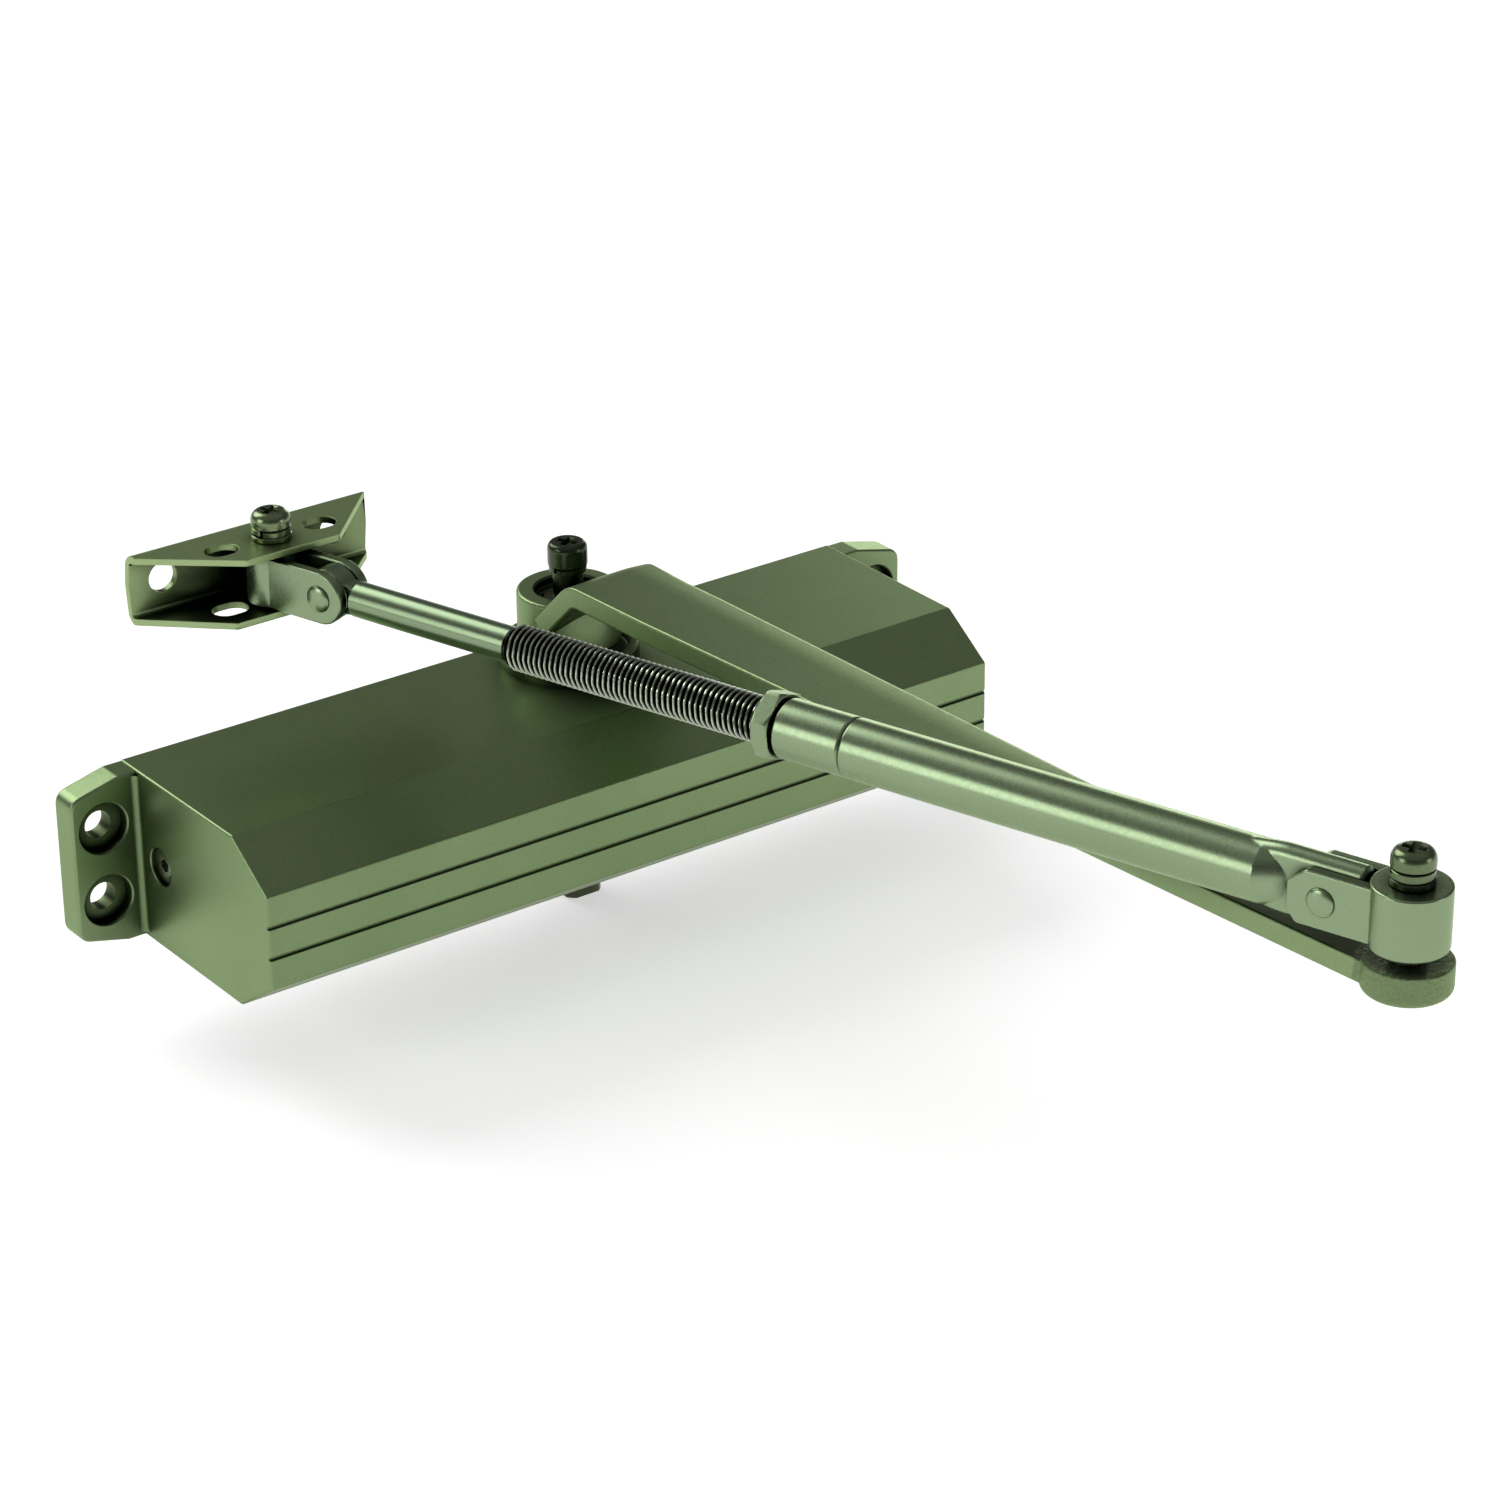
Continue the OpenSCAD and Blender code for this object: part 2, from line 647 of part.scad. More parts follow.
module check_retainer() {
  steel() on_bore() difference() {
    rod_x(piston_left_end, retainer_length, ball_r + 0.08);
    rod_x(piston_left_end - over, retainer_length + 2 * over, check_bore_r);
  }
}

// Valve screws
module valve_screw(depth) {
  outer = -half_length + valve_head_depth;
  on_bore(depth) difference() {
    union() {
      rod_x(outer, valve_length, valve_r);
      translate([outer + valve_length, 0, 0]) rotate([0, 90, 0])
        cylinder(h = needle_length - 0.5, r1 = 1.6, r2 = 0.5);
    }
    translate([outer + valve_groove_x, 0, 0]) rotate([0, 90, 0])
      ring(valve_r + over, valve_r - valve_groove_depth, valve_groove);
    translate([outer - over, 0, 0]) rotate([0, 90, 0])
      cylinder(h = valve_socket_depth + over, r = valve_socket_r, $fn = 6);
  }
}
module valve_ring(depth) {
  on_bore(depth) translate([-half_length + valve_head_depth + valve_groove_x + run, 0, 0]) rotate([0, 90, 0])
    seal_ring(valve_r + 0.03, valve_r - valve_groove_depth + ring_fit, valve_groove - 2 * run, 0.2);
}
module sweep_valve() { steel() valve_screw(sweep_depth); }
module sweep_valve_ring() { seal_rubber() valve_ring(sweep_depth); }
module latch_valve() { steel() mirror([1, 0, 0]) valve_screw(latch_depth); }
module latch_valve_ring() { seal_rubber() mirror([1, 0, 0]) valve_ring(latch_depth); }

// Pinion spindle
pinion_half = 10.5;
module square_end(bottom, length) {
  translate([0, 0, bottom]) intersection() {
    translate([-square_size / 2, -square_size / 2, 0]) cube([square_size, square_size, length]);
    cylinder(h = length, r = square_trim_r);
  }
}
module pinion_outline() {
  step = 360 / pinion_teeth;
  circle(r = root_r, $fn = 60);
  for (i = [0:pinion_teeth - 1])
    rotate(-90 + i * step) polygon(concat([[0, 0]], flank(-1), reversed(flank(1))));
}
module pinion_spindle() {
  dark_steel() at_spindle() difference() {
    union() {
      translate([0, 0, -pinion_half]) linear_extrude(2 * pinion_half) pinion_outline();
      for (low = [0, 1]) mirror([0, 0, low]) {
        translate([0, 0, pinion_half]) cylinder(h = hub_bottom - pinion_half, r = journal_r);
      }
      square_end(hub_bottom - over, hub_top - hub_recess - hub_bottom + over);
      square_end(-spindle_bottom, spindle_bottom - hub_bottom + over);
    }
    translate([0, 0, hub_top - hub_recess - 12]) cylinder(h = 13, r = arm_screw_r + 0.02);
  }
}

// Main arm
neck_peak = 18.2;
neck_start = neck_peak - arm_rise;
taper_start = 45;
taper_end = arm_length - 8;
far_round = 3.2;
near_round = 1.2;
low_round = 0.9;
module arm_side() {
  low = arm_plate * sqrt(2);
  polygon([
    [neck_start, hub_top], [neck_peak, arm_top], [arm_length, arm_top], [arm_length, arm_bottom],
    [neck_peak + low - arm_plate, arm_bottom], [neck_start + low - 2, hub_top - 2],
    [neck_start + low - 4, hub_top - 8],
    [neck_start - 2, hub_top - 8], [neck_start - 2, hub_top]
  ]);
}
module arm_plan() {
  polygon([
    [0, -arm_half_width], [taper_start, -arm_half_width],
    [taper_end, -arm_tip_half_width], [arm_length, -arm_tip_half_width],
    [arm_length, arm_tip_half_width], [taper_end, arm_tip_half_width],
    [taper_start, arm_half_width], [0, arm_half_width]
  ]);
}
// What rounding off takes away along an edge that runs from a to b on side 1 or -1
module edge_cut(from, to, side, z, r, down) {
  angle = atan2(to[1] - from[1], to[0] - from[0]);
  translate([from[0], side * from[1], z]) rotate([0, 0, side * angle]) translate([-over, 0, 0])
    mirror([0, side < 0 ? 1 : 0, 0]) mirror([0, 0, down ? 1 : 0]) rotate([90, 0, 90])
      linear_extrude(norm(to - from) + 2 * over) difference() {
        translate([-r, -r]) square(r + over);
        translate([-r, -r]) circle(r = r, $fn = 32);
      }
}
module long_edge_cuts(side, z, r, down) {
  wide = [neck_peak - 12, arm_half_width];
  knee = [taper_start, arm_half_width];
  slope = (arm_half_width - arm_tip_half_width) / (taper_end - taper_start);
  narrow = [taper_end + 4, arm_tip_half_width - 4 * slope];
  edge_cut(wide, knee, side, z, r, down);
  edge_cut(knee, narrow, side, z, r, down);
}
module main_arm() {
  bronze() in_arm() difference() {
    union() {
      translate([0, 0, hub_bottom]) rotate_extrude() polygon([
        [0, 0], [hub_r - 0.6, 0], [hub_r, 0.6], [hub_r, hub_top - hub_bottom - 0.8],
        [hub_r - 0.8, hub_top - hub_bottom], [0, hub_top - hub_bottom]
      ]);
      intersection() {
        rotate([90, 0, 0]) translate([0, 0, -arm_half_width]) linear_extrude(2 * arm_half_width) arm_side();
        translate([0, 0, hub_bottom]) linear_extrude(arm_top - hub_bottom + over) arm_plan();
        difference() {
          translate([0, -hub_r, hub_bottom]) cube([arm_length, 2 * hub_r, arm_top - hub_bottom + over]);
          long_edge_cuts(1, arm_top, far_round, false);
          long_edge_cuts(-1, arm_top, near_round, false);
          long_edge_cuts(1, arm_bottom, low_round, true);
          long_edge_cuts(-1, arm_bottom, low_round, true);
        }
      }
      translate([arm_length, 0, boss_bottom]) rotate_extrude() polygon([
        [0, 0], [boss_r - 0.7, 0], [boss_r, 0.7], [boss_r, boss_top - boss_bottom - 0.7],
        [boss_r - 0.7, boss_top - boss_bottom], [0, boss_top - boss_bottom]
      ]);
    }
    rotate([0, 0, -arm_angle]) translate([-square_size / 2 - 0.02, -square_size / 2 - 0.02, hub_bottom - over])
      cube([square_size + 0.04, square_size + 0.04, hub_top]);
    translate([0, 0, hub_top - hub_recess]) cylinder(h = arm_rise + hub_recess + over, r = hub_recess_r);
    translate([arm_length, 0, boss_bottom - over])
      cylinder(h = boss_top - boss_bottom + 2 * over, r = joint_screw_r + 0.02);
  }
}

// Screws and washers
slot_depth = 2.2;
slot_reach = 2.4;
slot_half = 0.55;
washer_split = 0.8;
module spring_washer(bottom, height, r_out, r_in) {
  translate([0, 0, bottom]) difference() {
    ring(r_out, r_in, height);
    rotate([0, 0, 40]) translate([0, -washer_split / 2, -over])
      cube([r_out + over, washer_split, height + 2 * over]);
  }
}
module cross_slot(z, depth) {
  for (a = [0, 90]) rotate([0, 0, a])
    translate([-slot_reach, -slot_half, z - depth]) cube([2 * slot_reach, 2 * slot_half, depth + over]);
}
rim_edge = 0.3;
module pan_head(bottom, top, r) {
  h = top - bottom;
  dome = h * 0.45;
  translate([0, 0, bottom]) rotate_extrude() polygon(concat(
    [[0, 0], [r - rim_edge, 0], [r, rim_edge]], arc(r - dome, h - dome, dome, 0, 75, 4), [[r - dome, h], [0, h]]
  ));
}
recess_floor = hub_top - hub_recess;
arm_screw_depth = 11;
arm_screw_head_r = 5;
module arm_screw() {
  dark_steel() at_spindle() difference() {
    union() {
      translate([0, 0, recess_floor - arm_screw_depth])
        cylinder(h = arm_screw_depth + arm_screw_head - recess_floor + run, r = arm_screw_r);
      translate([0, 0, recess_floor])
        cylinder(h = arm_screw_head - washer_height - recess_floor, r = arm_screw_neck_r);
      pan_head(arm_screw_head, arm_screw_top, arm_screw_head_r);
    }
    cross_slot(arm_screw_top, slot_depth);
  }
}
module arm_spring_washer() {
  dark_steel() at_spindle()
    spring_washer(arm_screw_head - washer_height, washer_height, spring_washer_r, arm_screw_r + run);
}
module elbow_screw() {
  dark_steel() at_elbow() difference() {
    union() {
      translate([0, 0, boss_bottom + 0.6]) cylinder(h = elbow_spring_top - boss_bottom, r = joint_screw_r);
      pan_head(elbow_spring_top, elbow_head_top, pan_head_r);
    }
    cross_slot(elbow_head_top, slot_depth);
  }
}
module elbow_washer() {
  dark_steel() at_elbow() translate([0, 0, elbow_top + stack_play])
    ring(washer_r, joint_screw_r + run, elbow_washer_top - elbow_top - stack_play);
}
module elbow_spring_washer() {
  dark_steel() at_elbow()
    spring_washer(elbow_washer_top, elbow_spring_top - elbow_washer_top, spring_washer_r, joint_screw_r + run);
}

// Elbow knuckle: a round with two tabs that hold the flattened tube
module knuckle(r, bottom, top, tab_out, tab_in, tab_h, rivet_offset, reach, tongue_clear, bore) {
  edge = 0.8;
  fillet = 2;
  difference() {
    union() {
      translate([0, 0, bottom]) rotate_extrude() polygon(concat(
        [[0, 0], [r - fillet, 0]], arc(r - fillet, fillet, fillet, -90, 0, 5),
        [[r, top - bottom - edge], [r - edge, top - bottom], [0, top - bottom]]
      ));
      for (side = [-1, 1]) translate([0, side * (tab_out + tab_in) / 2, forearm_z]) rotate([90, 0, 0])
        linear_extrude(tab_out - tab_in, center = true) polygon(concat(
          [[0, -tab_h / 2], [rivet_offset + reach - tab_h / 4, -tab_h / 2]],
          arc(rivet_offset + reach - tab_h / 2, 0, tab_h / 2, -60, 60, 10),
          [[rivet_offset + reach - tab_h / 4, tab_h / 2], [0, tab_h / 2]]
        ));
    }
    // the gap for the tongue
    translate([tongue_clear, -tab_in, bottom - over]) cube([rivet_offset + reach, 2 * tab_in, top]);
    translate([0, 0, bottom - over]) cylinder(h = top, r = bore);
    translate([rivet_offset, tab_out + over, forearm_z]) rotate([90, 0, 0])
      cylinder(h = 2 * tab_out + 2 * over, r = rivet_r + 0.02);
  }
}
module elbow_knuckle() {
  bronze_light() in_forearm()
    knuckle(elbow_knuckle_r, elbow_bottom, elbow_top, elbow_tab_outer, tab_inner, elbow_tab_height,
      elbow_rivet_offset, elbow_tab_reach, elbow_knuckle_r, joint_bush_r);
}
module pivot_sleeve(bottom, top) {
  translate([0, 0, bottom]) ring(joint_bush_r - 0.02, joint_screw_r + run, top - bottom);
}
module elbow_bush() { steel() at_elbow() pivot_sleeve(boss_top + 0.1, elbow_top + 0.05); }
module rivet(rivet_offset, outer) {
  translate([rivet_offset, 0, forearm_z]) rotate([90, 0, 0]) {
    cylinder(h = 2 * outer, r = rivet_r, center = true);
    for (side = [0, 1]) mirror([0, 0, side]) translate([0, 0, outer]) rotate_extrude() polygon([
      [0, -0.2], [rivet_r, -0.2], [rivet_r, 0], [rivet_head_r, 0], [rivet_head_r, rivet_head / 2],
      [rivet_head_r - 0.8, rivet_head], [0, rivet_head]
    ]);
  }
}
module elbow_rivet() { bronze_light() in_forearm() rivet(elbow_rivet_offset, elbow_tab_outer); }

// Forearm tube: flattened tongue, shoulder and round tube
module tube_tongue() {
  h = tongue_height / 2;
  c = 3;
  rotate([90, 0, 0]) linear_extrude(2 * tongue_half, center = true) polygon([
    [tongue_start, -h + c], [tongue_start + c, -h], [shoulder_end, -h + 0.3],
    [shoulder_end, h - 0.3], [tongue_start + c, h], [tongue_start, h - c]
  ]);
}
module tube_shoulder() {
  hull() {
    translate([flat_end - 1.2, 0, 0]) rotate([90, 0, 90]) linear_extrude(0.4)
      square([2 * tongue_half, tongue_height - 0.4], center = true);
    translate([shoulder_end, 0, 0]) rotate([0, 90, 0]) cylinder(h = 0.6, r = tube_r, $fn = 40);
  }
}
module forearm_tube() {
  bronze_light() in_forearm() translate([0, 0, forearm_z]) difference() {
    union() {
      tube_tongue();
      tube_shoulder();
      translate([shoulder_end, 0, 0]) rotate([0, 90, 0]) rotate_extrude() polygon([
        [0, 0], [tube_r, 0], [tube_r, bush_start - shoulder_end - 0.5], [tube_r - 0.4, bush_start - shoulder_end],
        [0, bush_start - shoulder_end]
      ]);
    }
    rod_x(shoulder_end + 4, bush_start, tube_bore_r);
    translate([elbow_rivet_offset, tube_r, 0]) rotate([90, 0, 0]) cylinder(h = 2 * tube_r, r = rivet_r + run);
  }
}
module thread_bush() {
  bronze_light() in_forearm() translate([bush_start, 0, forearm_z]) rotate([0, 90, 0]) rotate_extrude() polygon([
    [thread_r + run, 0], [tube_r - 0.4, 0], [tube_r, 0.5], [tube_r, bush_end - bush_start - 0.5],
    [tube_r - 0.5, bush_end - bush_start], [thread_r + run, bush_end - bush_start]
  ]);
}

// Adjusting rod with ring grooves in place of the thread
thread_depth = 0.7;
rod_end = 7.5;
rod_flat = 13;
module adjusting_rod() {
  shown = bush_end + nut_thickness;
  turns = floor((thread_end - shown) / thread_pitch);
  first = thread_end - turns * thread_pitch;
  rivet_x = forearm_length - shoe_rivet_offset;
  bronze_light() in_forearm() translate([0, 0, forearm_z]) {
    difference() {
      union() {
        rotate([0, 90, 0]) rotate_extrude() polygon(concat(
          [[0, thread_start], [thread_r, thread_start]],
          [for (i = [0:turns - 1]) for (k = [0:2]) let (x = first + i * thread_pitch)
            [k == 1 ? thread_r - thread_depth : thread_r, x + k * thread_pitch * 0.45]],
          [[thread_r, thread_end], [rod_r, thread_end + over]],
          [[rod_r, rivet_x - rod_end], [0, rivet_x - rod_end]]
        ));
        // the rod runs into the flat round tongue
        intersection() {
          translate([rivet_x - rod_flat, -shoe_tongue_half, -rod_r])
            cube([rod_flat, 2 * shoe_tongue_half, 2 * rod_r]);
          rod_x(rivet_x - rod_flat, rod_flat, rod_r);
        }
        translate([rivet_x, 0, 0]) rotate([90, 0, 0])
          cylinder(h = 2 * shoe_tongue_half, r = shoe_tongue_r, center = true);
      }
      translate([rivet_x, tube_r, 0]) rotate([90, 0, 0]) cylinder(h = 2 * tube_r, r = rivet_r + run);
    }
  }
}
nut_gap = 0.5;
nut_turn = -8;
module lock_nut() {
  bronze_light() in_forearm() translate([bush_end + nut_gap, 0, forearm_z]) rotate([0, 90, 0]) difference() {
    rotate([0, 0, nut_turn]) cylinder(h = nut_thickness, r = nut_size / sqrt(3), $fn = 6);
    translate([0, 0, -over]) cylinder(h = nut_thickness + 2 * over, r = thread_r + run);
  }
}

// Shoe knuckle, the same shape turned to face the rod
module in_shoe() { at_shoe() rotate([0, 0, forearm_angle + 180]) children(); }
module shoe_knuckle() {
  bronze_light() in_shoe()
    knuckle(shoe_knuckle_r, shoe_bottom, shoe_top, shoe_tab_outer, shoe_tab_inner, 2 * shoe_tab_r - 0.4,
      shoe_rivet_offset, shoe_tab_r, shoe_gap_start, joint_bush_r);
}
module shoe_rivet() { bronze_light() in_shoe() rivet(shoe_rivet_offset, shoe_tab_outer); }
module pivot_bush() { steel() at_shoe() pivot_sleeve(shoe_bottom - 0.1, shoe_top + 0.1); }

// Foot bracket, bent from sheet
bend_r = 3;
foot_slant_play = 1.8;
foot_left_slant = 3.5;
foot_slot_depth = 0.5;
foot_lower_slot_depth = 1.9;
module foot_section() {
  t = foot_sheet;
  h = foot_height / 2;
  front = -foot_front - over;
  inner = bend_r - t;
  polygon(concat(
    [[front, h]], reversed(arc(foot_back - bend_r, h - bend_r, bend_r, 0, 90, 6)),
    reversed(arc(foot_back - bend_r, -h + bend_r, bend_r, -90, 0, 6)),
    [[front, -h], [front, -h + t]],
    arc(foot_back - bend_r, -h + bend_r, inner, -90, 0, 4), arc(foot_back - bend_r, h - bend_r, inner, 0, 90, 4),
    [[front, h - t]]
  ));
}
// Seen from the front, the ends lean in above and below
module foot_ends() {
  half = foot_length / 2;
  h = foot_height / 2;
  rotate([90, 0, 0]) linear_extrude(3 * foot_back, center = true) polygon([
    [-half + foot_end_taper, -h], [half - foot_end_taper, -h], [half, foot_hole_rise],
    [half - foot_end_taper, h], [-half + foot_end_taper, h], [-half, foot_hole_rise]
  ]);
}
module foot_plan(front_length, shift, front, left_slant) {
  half = foot_length / 2;
  polygon([
    [-half, foot_back + over], [half, foot_back + over], [half, foot_back - foot_slant_play],
    [shift + front_length / 2, -front], [shift - front_length / 2, -front], [-half, foot_back - left_slant]
  ]);
}
module oval_hole(x, y, length, width) {
  shift = (length - width) / 2;
  translate([x, y, 0]) linear_extrude(foot_height / 2 + over) {
    square([2 * shift, width], center = true);
    for (side = [-1, 1]) translate([side * shift, 0]) circle(d = width);
  }
}
module foot_bracket() {
  bronze() at_shoe() translate([0, 0, foot_bottom + foot_height / 2]) difference() {
    intersection() {
      translate([-foot_length / 2, 0, 0]) rotate([90, 0, 90]) linear_extrude(foot_length) foot_section();
      foot_ends();
      union() {
        linear_extrude(foot_height) foot_plan(foot_front_length, foot_front_shift, foot_front, foot_left_slant);
        translate([0, 0, -foot_height]) linear_extrude(foot_height + over / 10)
          foot_plan(foot_lower_front_length, 0, foot_lower_front, foot_slant_play);
      }
    }
    for (side = [-1, 1]) {
      translate([side * foot_hole_span / 2, foot_back + over, foot_hole_rise]) rotate([90, 0, 0])
        cylinder(h = 3 * foot_sheet, r = foot_hole_r);
      oval_hole(side * foot_slot_span / 2, foot_slot_depth, foot_slot_length, foot_slot_width);
      mirror_down() oval_hole(side * foot_lower_slot_span / 2, foot_lower_slot_depth,
        foot_lower_slot_length, foot_lower_slot_width);
    }
    translate([0, 0, -foot_height]) cylinder(h = 2 * foot_height, r = joint_screw_r + 0.02);
  }
}
module pivot_screw() {
  dark_steel() at_shoe() difference() {
    union() {
      translate([0, 0, foot_bottom - 0.6]) cylinder(h = pivot_spring_top - foot_bottom + over, r = joint_screw_r);
      pan_head(pivot_spring_top, pivot_head_top, pan_head_r);
    }
    cross_slot(pivot_head_top, slot_depth);
  }
}
module pivot_washer() {
  dark_steel() at_shoe() translate([0, 0, foot_top])
    ring(washer_r, joint_screw_r + run, pivot_washer_top - foot_top);
}
module pivot_spring_washer() {
  dark_steel() at_shoe()
    spring_washer(pivot_washer_top, pivot_spring_top - pivot_washer_top, spring_washer_r, joint_screw_r + run);
}

housing();
top_gland_cap();
bottom_gland_cap();
upper_needle_bearing();
lower_needle_bearing();
upper_shaft_seal();
lower_shaft_seal();
upper_gland_ring();
lower_gland_ring();
end_plug();
end_plug_ring();
adjuster_screw();
adjuster_ring();
spring_seat();
main_spring();
piston();
piston_ring_left();
piston_ring_right();
check_ball();
check_retainer();
sweep_valve();
sweep_valve_ring();
latch_valve();
latch_valve_ring();
pinion_spindle();
main_arm();
arm_spring_washer();
arm_screw();
elbow_screw();
elbow_washer();
elbow_spring_washer();
elbow_knuckle();
elbow_bush();
elbow_rivet();
forearm_tube();
thread_bush();
adjusting_rod();
lock_nut();
shoe_knuckle();
shoe_rivet();
pivot_bush();
foot_bracket();
pivot_screw();
pivot_washer();
pivot_spring_washer();
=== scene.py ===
# %% [markdown]
# # A surface door closer in satin bronze
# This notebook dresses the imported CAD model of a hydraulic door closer. The CAD solids fix every size and
# joint. Here each visible piece gets its soft edges, threads and recesses, and every piece its finish.

# %% Load the frame
import bpy
import bmesh
from math import cos, sin, tan, pi, radians, sqrt
from mathutils import Matrix, Vector


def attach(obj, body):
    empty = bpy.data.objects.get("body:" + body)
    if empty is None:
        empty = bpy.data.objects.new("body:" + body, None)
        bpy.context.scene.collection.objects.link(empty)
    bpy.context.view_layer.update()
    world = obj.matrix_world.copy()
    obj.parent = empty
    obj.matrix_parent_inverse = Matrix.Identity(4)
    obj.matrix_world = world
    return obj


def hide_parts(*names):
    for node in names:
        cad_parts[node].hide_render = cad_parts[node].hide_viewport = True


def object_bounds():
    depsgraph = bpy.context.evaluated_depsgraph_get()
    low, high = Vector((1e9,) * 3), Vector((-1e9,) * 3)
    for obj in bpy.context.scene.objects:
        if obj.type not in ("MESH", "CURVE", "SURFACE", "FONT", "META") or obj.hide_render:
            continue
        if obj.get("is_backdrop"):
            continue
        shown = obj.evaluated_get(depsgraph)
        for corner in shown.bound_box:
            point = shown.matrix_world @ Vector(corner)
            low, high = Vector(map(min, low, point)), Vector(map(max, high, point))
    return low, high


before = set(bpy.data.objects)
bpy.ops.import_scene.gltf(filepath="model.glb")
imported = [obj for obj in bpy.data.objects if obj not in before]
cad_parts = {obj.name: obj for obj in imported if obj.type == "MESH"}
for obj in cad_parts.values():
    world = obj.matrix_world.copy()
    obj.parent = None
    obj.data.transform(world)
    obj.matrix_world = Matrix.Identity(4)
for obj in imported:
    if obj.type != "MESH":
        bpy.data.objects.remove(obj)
cad_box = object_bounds()

# %% [markdown]
# ## Where things are
# All sizes are the CAD model's, in millimetres. The closer has three places that pieces are built around: the
# spindle, the elbow at the end of the main arm, and the foot pivot at the end of the forearm.

# %% The closer's own coordinates
MM = 0.001
SPINDLE = (12.0, -18.2)
ARM_LENGTH, ARM_ANGLE = 280.98, -86.59
FOREARM_LENGTH, FOREARM_ANGLE = 307.4, 107.67
FOREARM_Z = 61.4
ELBOW_RIVET, SHOE_RIVET = 17.75, 18.7


def polar(origin, length, angle):
    return (origin[0] + length * cos(radians(angle)), origin[1] + length * sin(radians(angle)))


def stand(x, y, z=0.0, angle=0.0):
    return Matrix.Translation((x, y, z)) @ Matrix.Rotation(radians(angle), 4, "Z")


ELBOW = polar(SPINDLE, ARM_LENGTH, ARM_ANGLE)
PIVOT = polar(ELBOW, FOREARM_LENGTH, FOREARM_ANGLE)
AT_SPINDLE = stand(*SPINDLE)
ALONG_ARM = stand(*SPINDLE, 0, ARM_ANGLE)
AT_ELBOW = stand(*ELBOW)
ALONG_FOREARM = stand(*ELBOW, FOREARM_Z, FOREARM_ANGLE)
AT_PIVOT = stand(*PIVOT)
FROM_PIVOT = stand(*PIVOT, FOREARM_Z, FOREARM_ANGLE + 180)
# a turned profile of (radius, height) pairs, laid along +X
LAID_X = Matrix.Rotation(pi / 2, 4, "Y")
# the oil cylinder runs along the body on this axis
CYLINDER_Y = -25.7
ALONG_CYLINDER = Matrix.Translation((0, CYLINDER_Y, 0)) @ LAID_X
# a flat outline of (x, height) pairs, stood up so that its thickness runs along -Y
STOOD = Matrix.Rotation(pi / 2, 4, "X")


def stood_at(x, z=0.0):
    return Matrix.Translation((x, 0, z)) @ STOOD


print("elbow", ELBOW, "foot pivot", PIVOT)

# %% [markdown]
# ## The camera
# A long lens stands off to the front left, a little above the closer, as in a catalogue picture. It was
# fitted to the straight edges of the body and the two arms.

# %% Camera
camera_data = bpy.data.cameras.new("catalogue_camera")
camera = bpy.data.objects.new("catalogue_camera", camera_data)
bpy.context.scene.collection.objects.link(camera)
camera_data.sensor_width = 36.0
camera_data.lens = 112.81
camera_data.clip_start = 0.05
camera_data.clip_end = 20.0
CAMERA_AT = Vector((-586.33, -905.26, 510.92))
AZIMUTH, ELEVATION, ROLL = radians(36.397), radians(25.707), radians(0.508)
look = Vector((sin(AZIMUTH) * cos(ELEVATION), cos(AZIMUTH) * cos(ELEVATION), -sin(ELEVATION)))
level_right = Vector((cos(AZIMUTH), -sin(AZIMUTH), 0))
level_down = look.cross(level_right)
right = level_right * cos(ROLL) + level_down * sin(ROLL)
down = look.cross(right)
turn = Matrix((right, -down, -look)).transposed().to_4x4()
camera.matrix_world = Matrix.Translation(CAMERA_AT * MM) @ turn
bpy.context.scene.camera = camera
print("camera looks along", tuple(round(v, 3) for v in look))

# %% [markdown]
# ## Mesh tools
# Metal parts are mostly turned on a lathe, cut from plate, or swept along a line. One helper makes each of
# these from a few numbers. They work in millimetres, and the finished mesh is scaled to metres at the end.

# %% Helpers: raw meshes
SCRATCH = bpy.data.collections.new("scratch")
bpy.context.scene.collection.children.link(SCRATCH)


def solid(verts, faces, place=None):
    """A scratch object in millimetres, its normals pointing out."""
    mesh = bpy.data.meshes.new("raw")
    mesh.from_pydata([tuple(v) for v in verts], [], faces)
    if place is not None:
        mesh.transform(place)
    bm = bmesh.new()
    bm.from_mesh(mesh)
    bmesh.ops.remove_doubles(bm, verts=bm.verts, dist=1e-5)
    bmesh.ops.recalc_face_normals(bm, faces=bm.faces)
    bm.to_mesh(mesh)
    bm.free()
    obj = bpy.data.objects.new("raw", mesh)
    SCRATCH.objects.link(obj)
    return obj


def swept(rings, place=None):
    """A skin over rings of equally many points, with a cap at each end."""
    n = len(rings[0])
    verts = [v for ring in rings for v in ring]
    faces = []
    for i in range(len(rings) - 1):
        a, b = i * n, (i + 1) * n
        for j in range(n):
            k = (j + 1) % n
            faces.append((a + j, a + k, b + k, b + j))
    faces.append(tuple(reversed(range(n))))
    faces.append(tuple(range((len(rings) - 1) * n, len(rings) * n)))
    return solid(verts, faces, place)


def turned(profile, place=None, n=96, closed=False):
    """A lathe piece from (radius, height) pairs, which start and end on the axis or make a closed loop."""
    verts, faces, rows = [], [], []
    for r, z in profile:
        if r < 1e-6:
            rows.append([len(verts)] * n)
            verts.append((0, 0, z))
        else:
            rows.append([len(verts) + j for j in range(n)])
            verts += [(r * cos(2 * pi * j / n), r * sin(2 * pi * j / n), z) for j in range(n)]
    if closed:
        rows.append(rows[0])
    for a, b in zip(rows, rows[1:]):
        for j in range(n):
            k = (j + 1) % n
            face = []
            for v in (a[j], a[k], b[k], b[j]):
                if v not in face:
                    face.append(v)
            if len(face) > 2:
                faces.append(tuple(face))
    return solid(verts, faces, place)


def prism(outline, low, high, place=None):
    """An outline in XY between two heights, its edges sharp."""
    return swept([[(x, y, z) for x, y in outline] for z in (low, high)], place)


def cylinder(r, low, high, place=None, n=48):
    """A plain round bar. It cuts plain holes."""
    return turned([(0, low), (r, low), (r, high), (0, high)], place, n)


